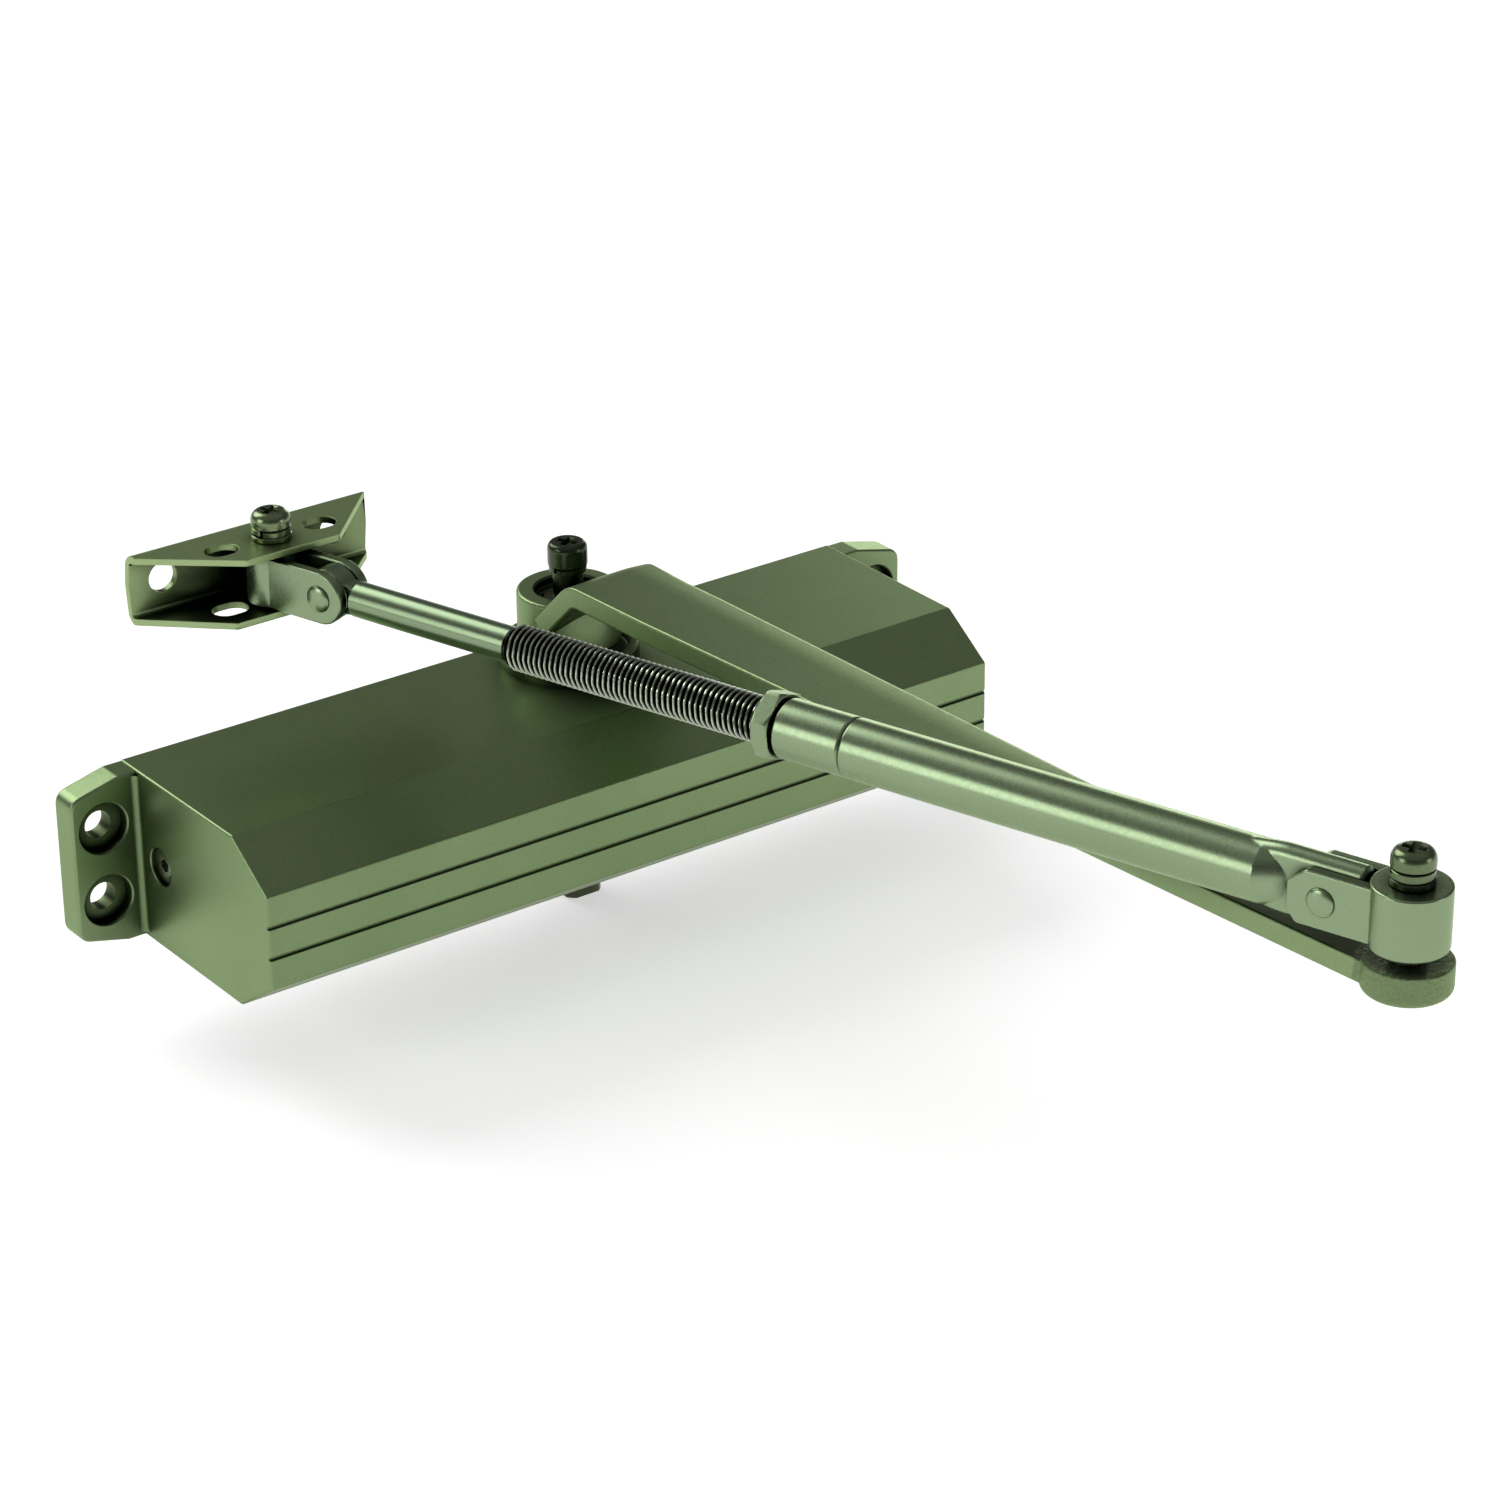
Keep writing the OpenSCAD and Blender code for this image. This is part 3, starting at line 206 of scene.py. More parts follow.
print("helpers: solid, swept, turned, prism, cylinder")

# %% [markdown]
# Real corners are never sharp: casting, pressing and paint all round them. `rounded` puts an arc on each
# corner of an outline, and `plate` gives an outline a thickness with a small round along both faces.

# %% Helpers: outlines and plates


def rounded(points, steps=5):
    """A closed outline from (x, y, corner radius) triples."""
    out = []
    count = len(points)
    for i, (x, y, r) in enumerate(points):
        p = Vector((x, y))
        if r <= 0:
            out.append((x, y))
            continue
        before = Vector(points[i - 1][:2]) - p
        after = Vector(points[(i + 1) % count][:2]) - p
        a, b = before.normalized(), after.normalized()
        half = a.angle(b) / 2
        # a round takes just under half of each side at most
        reach = min(r / tan(half), before.length * 0.49, after.length * 0.49)
        r = reach * tan(half)
        middle = p + (a + b).normalized() * (r / sin(half))
        start, stop = p + a * reach - middle, p + b * reach - middle
        turn_by = start.angle_signed(stop)
        for s in range(steps + 1):
            v = start.copy()
            v.rotate(Matrix.Rotation(-turn_by * s / steps, 2))
            out.append(tuple(middle + v))
    return out


def inset(outline, by):
    """The outline moved inwards along its corner normals."""
    area = sum(a[0] * b[1] - b[0] * a[1] for a, b in zip(outline, outline[1:] + outline[:1]))
    sign = 1 if area > 0 else -1
    out = []
    for i, p in enumerate(outline):
        a = (Vector(p) - Vector(outline[i - 1])).normalized()
        b = (Vector(outline[(i + 1) % len(outline)]) - Vector(p)).normalized()
        na, nb = Vector((-a.y, a.x)) * sign, Vector((-b.y, b.x)) * sign
        mid = na + nb
        # a sharp corner moves along its middle line, but not without limit
        mid = mid / max(mid.length_squared / 2, 0.4)
        out.append((p[0] + mid.x * by, p[1] + mid.y * by))
    return out


def plate(outline, low, high, edge=0.4, place=None):
    """A plate between two heights, its outline in XY, both rims rounded."""
    bottom, top, steps = [], [], 3
    for s in range(steps + 1):
        a = pi / 2 * s / steps
        ring = inset(outline, edge * (1 - sin(a)))
        bottom.append([(x, y, low + edge * (1 - cos(a))) for x, y in ring])
        top.append([(x, y, high - edge * (1 - cos(a))) for x, y in ring])
    return swept(bottom + top[::-1], place)


def arc(cx, cy, r, a0, a1, n=6):
    """Points on a circle from one angle to another, in degrees."""
    angles = [radians(a0 + (a1 - a0) * i / n) for i in range(n + 1)]
    return [(cx + r * cos(a), cy + r * sin(a)) for a in angles]


print("helpers: rounded, inset, plate, arc")

# %% [markdown]
# Round holes that show are cut with tools that flare at the mouth, so the cut leaves a rounded rim, as a
# deburred hole has.

# %% Helpers: cutting, joining and finishing


def settle(obj):
    """Applies every modifier."""
    deps = bpy.context.evaluated_depsgraph_get()
    mesh = bpy.data.meshes.new_from_object(obj.evaluated_get(deps))
    obj.modifiers.clear()
    old, obj.data = obj.data, mesh
    bpy.data.meshes.remove(old)


def boolean(obj, tools, operation):
    for tool in tools:
        mod = obj.modifiers.new(operation.lower(), "BOOLEAN")
        mod.operation, mod.object, mod.solver = operation, tool, "EXACT"
        settle(obj)
        mesh = tool.data
        bpy.data.objects.remove(tool)
        bpy.data.meshes.remove(mesh)


def cut(obj, *tools):
    boolean(obj, tools, "DIFFERENCE")


def weld(obj, *tools):
    boolean(obj, tools, "UNION")


def drill(r, length, place, flare=0.35, n=64):
    """A drill that starts at the surface and goes down -Z; the rim it leaves is rounded."""
    mouth = [(r + flare * (1 - cos(radians(a))), -flare + flare * sin(radians(a))) for a in (0, 30, 60, 85)]
    profile = [(0, -length), (r, -length)] + mouth + [(r + flare * 1.05, 1.5), (0, 1.5)]
    return turned(profile, place, n)


def moved(obj, place):
    obj.data.transform(place)
    return obj


def done(obj, name, body, material, nodes=(), crease=32):
    """Names the piece, sets its shading and hands it to the frame in metres."""
    obj.name = name
    obj.data.name = name
    obj.data.transform(Matrix.Scale(MM, 4))
    for face in obj.data.polygons:
        face.use_smooth = True
    obj.data.set_sharp_from_angle(angle=radians(crease))
    weighted = obj.modifiers.new("flat faces stay flat", "WEIGHTED_NORMAL")
    weighted.keep_sharp = True
    SCRATCH.objects.unlink(obj)
    bpy.context.scene.collection.objects.link(obj)
    obj.data.materials.clear()
    obj.data.materials.append(material)
    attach(obj, body)
    if nodes:
        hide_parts(*nodes)
    print(f"{name}: {len(obj.data.polygons)} faces")


print("helpers: settle, cut, weld, drill, moved, done")

# %% [markdown]
# ## Finishes
# Colours are written as sRGB hex values and turned to linear by one function. `add` places a shader node with
# its settings and links, so that each finish reads as a short list of what is in it.

# %% Helpers: colour and nodes


def rgb(code):
    parts = [int(code[i:i + 2], 16) / 255 for i in (1, 3, 5)]
    return tuple(c / 12.92 if c <= 0.04045 else ((c + 0.055) / 1.055) ** 2.4 for c in parts) + (1.0,)


def add(tree, kind, links=None, **settings):
    """A node of that kind. Settings are sockets by name, or the node's own options. Each of the links is a
    socket and the output that feeds it."""
    node = tree.nodes.new(kind)
    options = {k: v for k, v in settings.items() if k not in node.inputs and hasattr(node, k)}
    for key, value in options.items():
        setattr(node, key, value)
    for key, value in settings.items():
        if key not in options:
            node.inputs[key.replace("_", " ") if key not in node.inputs else key].default_value = value
    for key, output in (links or {}).items():
        tree.links.new(output, node.inputs[key])
    return node


def blend(tree, factor, first, second):
    """Mixes two sRGB hex colours; a colour mix keeps its colour sockets behind the plain ones."""
    node = add(tree, "ShaderNodeMix", {0: factor}, data_type="RGBA")
    node.inputs[6].default_value = rgb(first)
    node.inputs[7].default_value = rgb(second)
    return node.outputs[2]


def noise(tree, place, scale, detail, **more):
    """scale is in cells to the metre."""
    node = add(tree, "ShaderNodeTexNoise", {"Vector": place}, Scale=scale, Detail=detail, **more)
    return node.outputs["Fac"]


def remap(tree, value, from_min, from_max, to_min=0.0, to_max=1.0):
    node = add(tree, "ShaderNodeMapRange", {"Value": value}, From_Min=from_min, From_Max=from_max,
               To_Min=to_min, To_Max=to_max)
    return node.outputs["Result"]


def calc(tree, operation, first, second, clamp=False):
    """A calculation on one output and either a second output or a plain number."""
    links = {0: first}
    if not isinstance(second, float):
        links[1] = second
    node = add(tree, "ShaderNodeMath", links, operation=operation, use_clamp=clamp)
    if isinstance(second, float):
        node.inputs[1].default_value = second
    return node.outputs["Value"]


def new_material(name):
    material = bpy.data.materials.new(name)
    material.use_nodes = True
    material.node_tree.nodes.clear()
    return material, material.node_tree


print("helpers: rgb, add, blend, noise, remap, calc, new_material")

# %% [markdown]
# ### Satin bronze finish
# The body, both arms and the foot bracket wear a sprayed metallic bronze. The fine metal flakes lie flat in
# the film, so it shines like satin metal, darker where it mirrors the dark walls and bright where it mirrors
# the white table. Spraying leaves a shallow orange-peel surface. Painted shade darkens recesses and inside
# corners towards a near-black green.

# %% Bronze finish
# the near-black green painted into recesses and inside corners as shade
PAINTED_SHADE = "#151b10"
METAL_SHARE = 0.95


def bronze_paint(name, base, light, peel=0.12, rough=0.36, speck=0.12, rough_spot=None, shade_reach=14):
    """peel is the height of the orange peel, speck how strongly the flakes show, and rough_spot a place and
    radius, in millimetres, where the metal was left rough. The last argument is how far, in millimetres, a
    nearby wall reaches to darken the colour with painted shade."""
    material, tree = new_material(name)
    place = add(tree, "ShaderNodeTexCoord").outputs["Object"]
    # drifts of tone about 45 mm wide, from uneven spraying
    cloud = noise(tree, place, 22.0, 3.0, Roughness=0.55)
    # flakes are 0.03 mm on the real paint and are drawn 0.4 mm wide, so that they show
    flake = noise(tree, place, 2400.0, 1.0)
    grain = noise(tree, place, 900.0, 2.0)
    tone = remap(tree, cloud, 0.3, 0.7, 0.1, 0.35)
    spark = remap(tree, flake, 0.35, 0.65, -speck, speck)
    film = calc(tree, "ADD", tone, spark, clamp=True)
    colour = blend(tree, film, base, light)
    # painted shade: ambient occlusion tells how shut in a place is, and shut-in places take the dark colour
    occlusion = add(tree, "ShaderNodeAmbientOcclusion", samples=16, Distance=shade_reach * MM)
    unshaded_share = remap(tree, occlusion.outputs["AO"], 0.35, 0.88)
    # painted shade: the colour turns near-black green where nearby walls close a place in
    colour_with_painted_shade = add(tree, "ShaderNodeMix", {0: unshaded_share, 7: colour}, data_type="RGBA")
    colour_with_painted_shade.inputs[6].default_value = rgb(PAINTED_SHADE)
    gloss = remap(tree, grain, 0.3, 0.7, rough - 0.02, rough + 0.03)
    # orange peel about 1 mm across
    skin = add(tree, "ShaderNodeBump", {"Height": grain}, Strength=peel, Distance=0.0002)
    normal = skin.outputs["Normal"]
    if rough_spot:
        (x, y, z), reach = rough_spot
        apart = add(tree, "ShaderNodeVectorMath", {0: place}, operation="DISTANCE")
        apart.inputs[1].default_value = (x * MM, y * MM, z * MM)
        near = remap(tree, apart.outputs["Value"], (reach + 0.8) * MM, reach * MM, 0.0, 0.9)
        # pits about 1 mm across
        pits = noise(tree, place, 800.0, 4.0, Roughness=0.7)
        links = {"Height": pits, "Strength": near, "Normal": normal}
        normal = add(tree, "ShaderNodeBump", links, Distance=0.0012).outputs["Normal"]
    links = {"Base Color": colour_with_painted_shade.outputs[2], "Roughness": gloss, "Normal": normal}
    paint = add(tree, "ShaderNodeBsdfPrincipled", links, Metallic=METAL_SHARE)
    # the film tints what it mirrors even at a flat angle
    paint.inputs["Specular Tint"].default_value = rgb("#e9f1dc")
    add(tree, "ShaderNodeOutputMaterial", {"Surface": paint.outputs["BSDF"]})
    print("finish:", name)
    return material


# the last argument of each finish sets how far, in millimetres, painted shade reaches out from nearby walls
body_bronze = bronze_paint("satin_bronze_on_cast_body", "#748960", "#92a57c", shade_reach=32)
arm_bronze = bronze_paint("satin_bronze_on_forged_arm", "#778b62", "#95a77e", peel=0.16, rough=0.38,
                          rough_spot=((*ELBOW, 47.4), 11.0))
forearm_bronze = bronze_paint("satin_bronze_on_drawn_steel", "#7f9270", "#98a98a", peel=0.0, rough=0.28,
                              speck=0.02, shade_reach=5)
sheet_bronze = bronze_paint("satin_bronze_on_sheet_steel", "#93a876", "#a8bb8d", peel=0.06, speck=0.08,
                            shade_reach=26)

# %% [markdown]
# ### Bare and plated steel
# Screws are turned, plated dark bronze or blackened, and stay shiny. The hidden parts are machined steel.
# Machining leaves fine rings round the axis, drawn here as stretched noise, coarser than the real feed marks.

# %% Steels
# how far apart the machining marks are drawn, in millimetres
MARK_GAP = 0.5


def machined_steel(name, base, light, rough=0.3, stretch=(1.0, 1.0, 9.0), bump=0.06):
    material, tree = new_material(name)
    place = add(tree, "ShaderNodeTexCoord").outputs["Object"]
    laid = add(tree, "ShaderNodeMapping", {"Vector": place})
    laid.inputs["Scale"].default_value = stretch
    marks = noise(tree, laid.outputs["Vector"], 1.0 / (MARK_GAP * MM), 3.0)
    stain = noise(tree, place, 90.0, 2.0)
    tone = remap(tree, calc(tree, "MULTIPLY", marks, stain), 0.12, 0.42)
    colour = blend(tree, tone, base, light)
    gloss = remap(tree, marks, 0.3, 0.7, rough - 0.06, rough + 0.08)
    cutmarks = add(tree, "ShaderNodeBump", {"Height": marks}, Strength=bump, Distance=0.0001)
    links = {"Base Color": colour, "Roughness": gloss, "Normal": cutmarks.outputs["Normal"]}
    steel = add(tree, "ShaderNodeBsdfPrincipled", links, Metallic=1.0)
    add(tree, "ShaderNodeOutputMaterial", {"Surface": steel.outputs["BSDF"]})
    print("finish:", name)
    return material


screw_plate = machined_steel("dark_bronze_plated_screw_steel", "#5d6a4d", "#7f8e6c", rough=0.24, bump=0.01)
dark_screw = machined_steel("black_oxide_screw_steel", "#2f3628", "#4d5742", rough=0.24, bump=0.01)
spindle_steel = machined_steel("hardened_spindle_steel", "#33382a", "#626a52", rough=0.34)
ground_steel = machined_steel("ground_bearing_steel", "#9b9c98", "#c4c5c1", rough=0.22)
valve_steel = machined_steel("turned_valve_steel", "#5a604f", "#a5ac98", rough=0.25)
spring_wire = machined_steel("oiled_spring_steel", "#3a3f45", "#6f767c", rough=0.3)
milled_steel = machined_steel("milled_piston_steel", "#7d807f", "#adb0ae", rough=0.3, stretch=(6.0, 1.0, 1.0))

# %% [markdown]
# ### Rolled thread
# The rod's plain part looks much like the forearm. On the rolled thread the roots are painted near black as
# shade and the crests near white as a highlight. The distance from the rod's axis tells the two apart.

# %% Rod finish
# along the rod, where the thread's finish begins and ends
THREAD_SPAN = (155.0, 234.4)
# out from the rod's axis, where the painted root shade ends and where the painted crest highlight is full
ROOT_SHADE_R, CREST_HIGHLIGHT_R = 5.0, 5.45
rod_bronze, tree = new_material("bronze_rod_with_rolled_thread")
place = add(tree, "ShaderNodeTexCoord").outputs["Object"]
lined = add(tree, "ShaderNodeMapping", {"Vector": place}, vector_type="TEXTURE")
lined.inputs["Location"].default_value = (ELBOW[0] * MM, ELBOW[1] * MM, FOREARM_Z * MM)
lined.inputs["Rotation"].default_value = (0, 0, radians(FOREARM_ANGLE))
axes = add(tree, "ShaderNodeSeparateXYZ", {"Vector": lined.outputs["Vector"]})
across = add(tree, "ShaderNodeCombineXYZ", {"Y": axes.outputs["Y"], "Z": axes.outputs["Z"]})
radius = add(tree, "ShaderNodeVectorMath", {0: across.outputs["Vector"]}, operation="LENGTH")
crest = remap(tree, radius.outputs["Value"], ROOT_SHADE_R * MM, CREST_HIGHLIGHT_R * MM)
begun = calc(tree, "GREATER_THAN", axes.outputs["X"], THREAD_SPAN[0] * MM)
ended = calc(tree, "LESS_THAN", axes.outputs["X"], THREAD_SPAN[1] * MM)
threaded = calc(tree, "MULTIPLY", begun, ended)
mottle = noise(tree, place, 500.0, 2.0)
plain = blend(tree, mottle, "#788b6c", "#7f9273")
# painted shade near black in the thread's roots, a painted highlight near white on its crests
root_shade_and_crest_highlight = blend(tree, crest, "#050604", "#bcc5b1")
either = add(tree, "ShaderNodeMix", {0: threaded, 6: plain, 7: root_shade_and_crest_highlight}, data_type="RGBA")
links = {"Base Color": either.outputs[2], "Roughness": remap(tree, mottle, 0.0, 1.0, 0.22, 0.27)}
metal = add(tree, "ShaderNodeBsdfPrincipled", links, Metallic=METAL_SHARE)
add(tree, "ShaderNodeOutputMaterial", {"Surface": metal.outputs["BSDF"]})
print("finish: bronze_rod_with_rolled_thread")

# %% [markdown]
# ### Nitrile rubber
# Ring seals and shaft seals are moulded black nitrile, matt, with a trace of oil.

# %% Rubber
seal_black, tree = new_material("moulded_nitrile_rubber")
place = add(tree, "ShaderNodeTexCoord").outputs["Object"]
dust = noise(tree, place, 700.0, 3.0)
tint = blend(tree, dust, "#141414", "#2a2a29")
dull = remap(tree, dust, 0.0, 1.0, 0.5, 0.75)
rubber = add(tree, "ShaderNodeBsdfPrincipled", {"Base Color": tint, "Roughness": dull})
add(tree, "ShaderNodeOutputMaterial", {"Surface": rubber.outputs["BSDF"]})
print("finish: moulded_nitrile_rubber")

# %% [markdown]
# ## The body
# The body is one casting: a bar with a sloped upper and lower front, two fine grooves along the nose, and a
# lug with two counterbored holes at each end. The section is drawn with a radius on every corner and swept
# along the body; near each end it shrinks a little, which rounds the end edges. The grooves are cut past both
# ends of the bar, so they run out cleanly.

# %% Body section and sweep
BODY_HALF, BODY_TOP, NOSE = 106.65, 22.25, 12.1
half_section = [(0, BODY_TOP, 1.0), (-51.9, BODY_TOP, 1.2), (-66.7, NOSE, 0.9)]
section = rounded(half_section + [(y, -z, r) for y, z, r in reversed(half_section)], 5)
END_ROUND = 0.6
stations = []
for s in range(5):
    a = pi / 2 * s / 4
    stations.append((-BODY_HALF + END_ROUND * (1 - cos(a)), END_ROUND * (1 - sin(a))))
stations += [(-x, d) for x, d in reversed(stations)]
body = swept([[(x, y, z) for y, z in inset(section, d)] for x, d in stations])
GROOVE_Z, GROOVE_FLOOR = 4.03, -66.0
groove = [(-68.0, 0.95), (-66.7, 0.62), (-66.5, 0.48), (-66.15, 0.42), (GROOVE_FLOOR, 0.25)]
for z in (-GROOVE_Z, GROOVE_Z):
    shape = [(y, z + w) for y, w in groove] + [(y, z - w) for y, w in reversed(groove)]
    cut(body, swept([[(x, y, h) for y, h in shape] for x in (-110.0, 110.0)]))
print("section points:", len(section))

# %% Lugs and the fillet beside them
LUG_OUT, LUG_THICK, LUG_EDGE, FILLET_R = 124.7, 7.9, 0.7, 1.6
half_lug = [(95, 21.9, 0), (111.4, 21.9, 3.0), (LUG_OUT, 18.6, 3.5)]
lug = half_lug + [(x, -z, r) for x, z, r in reversed(half_lug)]
inner, outer = BODY_HALF - 1.0, BODY_HALF + FILLET_R
fillet = [(inner, -LUG_THICK + 1.0), (outer, -LUG_THICK + 1.0), (outer, -LUG_THICK - 0.02)]
for a in range(15, 91, 15):
    fillet.append((outer - FILLET_R * sin(radians(a)), -LUG_THICK - FILLET_R * (1 - cos(radians(a)))))
fillet.append((inner, -LUG_THICK - FILLET_R))
for side in (-1, 1):
    outline = rounded([(side * x, z, r) for x, z, r in lug])
    weld(body, plate(outline, 0.0, LUG_THICK, LUG_EDGE, STOOD))
    weld(body, prism([(side * x, y) for x, y in fillet], -21.0, 21.0))
print("lugs joined")

# %% Screw holes, bores and valve recesses
HOLE_X, HOLE_Z = 116.2, 9.6
# -Y side carries the counterbore; both mouths are rounded
counterbore = [(0, -1.5), (3.9, -1.5), (3.9, 0), (3.6, 0.15), (3.5, 0.5), (3.5, 4.9), (6.2, 5.0), (6.3, 7.3),
               (6.45, 7.65), (6.8, 7.9), (6.85, 9.5), (0, 9.5)]
for x in (-HOLE_X, HOLE_X):
    for z in (-HOLE_Z, HOLE_Z):
        cut(body, turned(counterbore, stood_at(x, z), 64))
oil_bore = [(0, -82.0), (17.5, -82.0), (17.5, 100.0), (18.45, 100.0), (18.45, 106.2), (18.9, BODY_HALF),
            (18.9, 108), (0, 108)]
cut(body, turned(oil_bore, ALONG_CYLINDER, 128))
cut(body, cylinder(13.55, -30, 30, AT_SPINDLE, 96))
SWEEP_VALVE_Y, LATCH_VALVE_Y = -17.0, -54.0
for x, y, side in ((-BODY_HALF, SWEEP_VALVE_Y, -1), (BODY_HALF, LATCH_VALVE_Y, 1)):
    mouth = Matrix.Translation((x, y, 0)) @ Matrix.Rotation(side * pi / 2, 4, "Y")
    cut(body, drill(4.75, 1.2, mouth, 0.4))
    cut(body, drill(3.0, 15.0, mouth, 0.0))
done(body, "cast_body", "closer_body", body_bronze, ["housing"])

# %% [markdown]
# ## Gland caps and end plug
# A gland cap screws in round the spindle on each side. It carries the needle bearing and the shaft seal, and
# its raised rim keeps dirt off the seal. The end plug closes the oil cylinder; two blind holes take a pin
# spanner.

# %% Gland caps
# up the hole, over the recess and the raised rim, down past the ring seal's groove, and back inside
cap_profile = [(7.65, 23.0), (7.65, 24.2), (7.9, 24.5), (14.4, 24.5)] + arc(14.4, 25.1, 0.6, -90, 0, 3)
cap_profile += arc(15.5, 27.0, 0.5, 180, 90, 3) + arc(16.7, 26.7, 0.8, 90, 0, 5)
cap_profile += [(17.5, BODY_TOP), (13.5, BODY_TOP), (13.5, 21.4), (12.2, 21.4), (12.2, 19.0), (13.5, 19.0),
                (13.5, 12.0), (10.52, 12.0), (10.52, 23.0)]
for side, node in ((1, "top_gland_cap"), (-1, "bottom_gland_cap")):
    cap = turned([(r, side * z) for r, z in cap_profile], AT_SPINDLE, 128, closed=True)
    done(cap, node + "_ring", "closer_body", body_bronze, [node])

# %% End plug
plug = [(5.05, 90.0), (5.05, 106.3), (5.4, BODY_HALF), (18.0, BODY_HALF), (18.4, 106.25), (18.4, 100.0),
        (17.48, 100.0), (17.48, 96.6), (16.0, 96.6), (16.0, 94.0), (17.48, 94.0), (17.48, 90.0)]
plug = turned(plug, ALONG_CYLINDER, 128, closed=True)
SPANNER_HOLES_Y = (-14.2, -37.2)
for y in SPANNER_HOLES_Y:
    mouth = Matrix.Translation((BODY_HALF, y, 0)) @ Matrix.Rotation(pi / 2, 4, "Y")
    cut(plug, drill(1.6, 4.0, mouth, 0.25, 32))
cut(plug, cylinder(8.3, 89, 93.0, ALONG_CYLINDER, 64))
done(plug, "screwed_end_plug", "closer_body", body_bronze, ["end_plug"])

# %% [markdown]
# ## The main arm
# The arm is forged: a hub that fits the squared spindle, a neck that climbs at 45 degrees, and a long bar
# that narrows towards a round boss. Its top falls away towards the far edge, which has a large radius; the
# near edge has a small one. The section is carried along the bent centre line and stays square to it.

# %% Arm section
ARM_LOW, ARM_HIGH = 45.4, 51.0


def arm_section(half, far):
    """far is the radius of the far upper edge. The top falls by 0.6 mm towards it."""
    t = (ARM_HIGH - ARM_LOW) / 2
    fall, near, low = 0.6, 0.6, 0.9
    corners = [(half, t - fall, min(far, 2 * t - low - 0.7)), (half, -t, low), (-half, -t, low)]
    return rounded(corners + [(-half, t, near), (half - 7, t, 60)], 7)


def far_round(s):
    """The far edge is crisp at the neck, and its round grows along the first part of the bar, as far as
    `rounded` leaves it room."""
    return 1.1 + 3.3 * min(1.0, max(0.0, (s - 17.0) / 30.0))


def arm_half_width(s):
    """The bar is even beside the hub and narrows from there to the boss."""
    wide, narrow, taper_from, taper_to = 12.8, 8.0, 45, ARM_LENGTH - 8
    if s < taper_from:
        return wide
    return wide + (narrow - wide) * (s - taper_from) / (taper_to - taper_from)


# %% Arm sweep
centre = (ARM_LOW + ARM_HIGH) / 2
bend = 2.6
# the undersides of neck and bar meet 18.2 mm from the spindle's axis
knee = 18.2 - (ARM_HIGH - centre) * (sqrt(2) - 1)
path = [(knee - 12.5, centre - 12.5, 45.0), (knee - bend * 0.7, centre - bend * 0.7, 45.0)]
for k in range(1, 6):
    t = k / 6
    a, b = Vector((knee - bend * 0.7, centre - bend * 0.7)), Vector((knee + bend, centre))
    c = Vector((knee, centre))
    q = a * (1 - t) ** 2 + c * 2 * t * (1 - t) + b * t ** 2
    path.append((q.x, q.y, 45.0 * (1 - t)))
bar_stations = (24, 28, 33, 38, 42, 45, 50, 60, 100, 160, 220, 268, ARM_LENGTH - 1)
path += [(knee + bend, centre, 0.0)] + [(s, centre, 0.0) for s in bar_stations]
rings = []
for s, z, tilt in path:
    half = arm_half_width(s)
    ring = []
    for w, h in arm_section(half, far_round(s)):
        ring.append((s - h * sin(radians(tilt)), w, z + h * cos(radians(tilt))))
    rings.append(ring)
arm = swept(rings, ALONG_ARM)
print("arm rings:", len(rings))

# %% Hub and boss
hub = [(0, 28.0), (12.2, 28.0)] + arc(12.2, 28.8, 0.8, -90, 0, 4)
hub += arc(12.1, 40.7, 0.9, 0, 90, 4) + [(0, 41.6)]
weld(arm, turned(hub, ALONG_ARM, 96))
boss = [(0, 44.2)] + arc(8.2, 45.9, 1.7, -90, 0, 8) + arc(9.45, 50.95, 0.45, 0, 90, 4) + [(0, 51.4)]
weld(arm, turned(boss, ALONG_ARM @ Matrix.Translation((ARM_LENGTH, 0, 0)), 96))
recess = [(0, 39.1), (8.1, 39.1), (8.5, 39.5), (8.5, 41.0), (8.9, 41.6), (9.2, 60), (0, 60)]
cut(arm, turned(recess, ALONG_ARM, 72))
SQUARE = 5.22
square = rounded([(SQUARE * u, SQUARE * v, 0.8) for u, v in ((1, 1), (-1, 1), (-1, -1), (1, -1))], 3)
cut(arm, prism(square, 20.0, 60.0, AT_SPINDLE))
screw_hole = [(0, 40), (3.4, 40), (3.4, 44.2), (3.05, 44.6), (3.05, 53), (0, 53)]
cut(arm, turned(screw_hole, AT_ELBOW, 48))
done(arm, "forged_main_arm", "arm", arm_bronze, ["main_arm"])

# %% [markdown]
# ## Screws and spring washers
# The three joint screws are dark pan heads with a cross recess. Under each head lies a split spring washer: a
# nearly square wire wound through almost a full turn, its ends a little apart in height.

# %% Pan-head screws
SHANK_R, WASHER_HOLE = 3.0, 3.05


def pan_screw(bottom, under, top, r, neck=None, flat=0.58, side=0.4):
    """Its shank runs from bottom to the underside of the head, and neck is (radius, low, high) for a thicker
    part. flat is the flat share of the head's radius, side the upright share of its height."""
    h = top - under
    flat *= r
    profile = [(0, bottom), (SHANK_R - 0.4, bottom), (SHANK_R, bottom + 0.4)]
    if neck:
        profile += [(SHANK_R, neck[1]), (neck[0], neck[1]), (neck[0], neck[2]), (SHANK_R, neck[2])]
    profile += [(SHANK_R, under), (r - 0.3, under)] + arc(r - 0.3, under + 0.3, 0.3, -90, 0, 3)
    rim = under + h * side
    profile += [(r, rim)]
    for a in range(12, 91, 13):
        profile.append((flat + (r - flat) * cos(radians(a)), rim + h * (1 - side) * sin(radians(a))))
    profile += [(flat, top), (0, top)]
    screw = turned(profile, None, 72)
    arms = []
    for k in range(2):
        bar = []
        for z, reach, half in ((top - 2.3, 1.1, 0.45), (top - 0.4, 2.5, 0.75), (top + 0.6, 2.8, 0.95)):
            bar.append([(reach, -half, z), (reach, half, z), (-reach, half, z), (-reach, -half, z)])
        arms.append(swept(bar, Matrix.Rotation(pi / 2 * k + 0.5, 4, "Z")))
    cut(screw, *arms)
    return screw


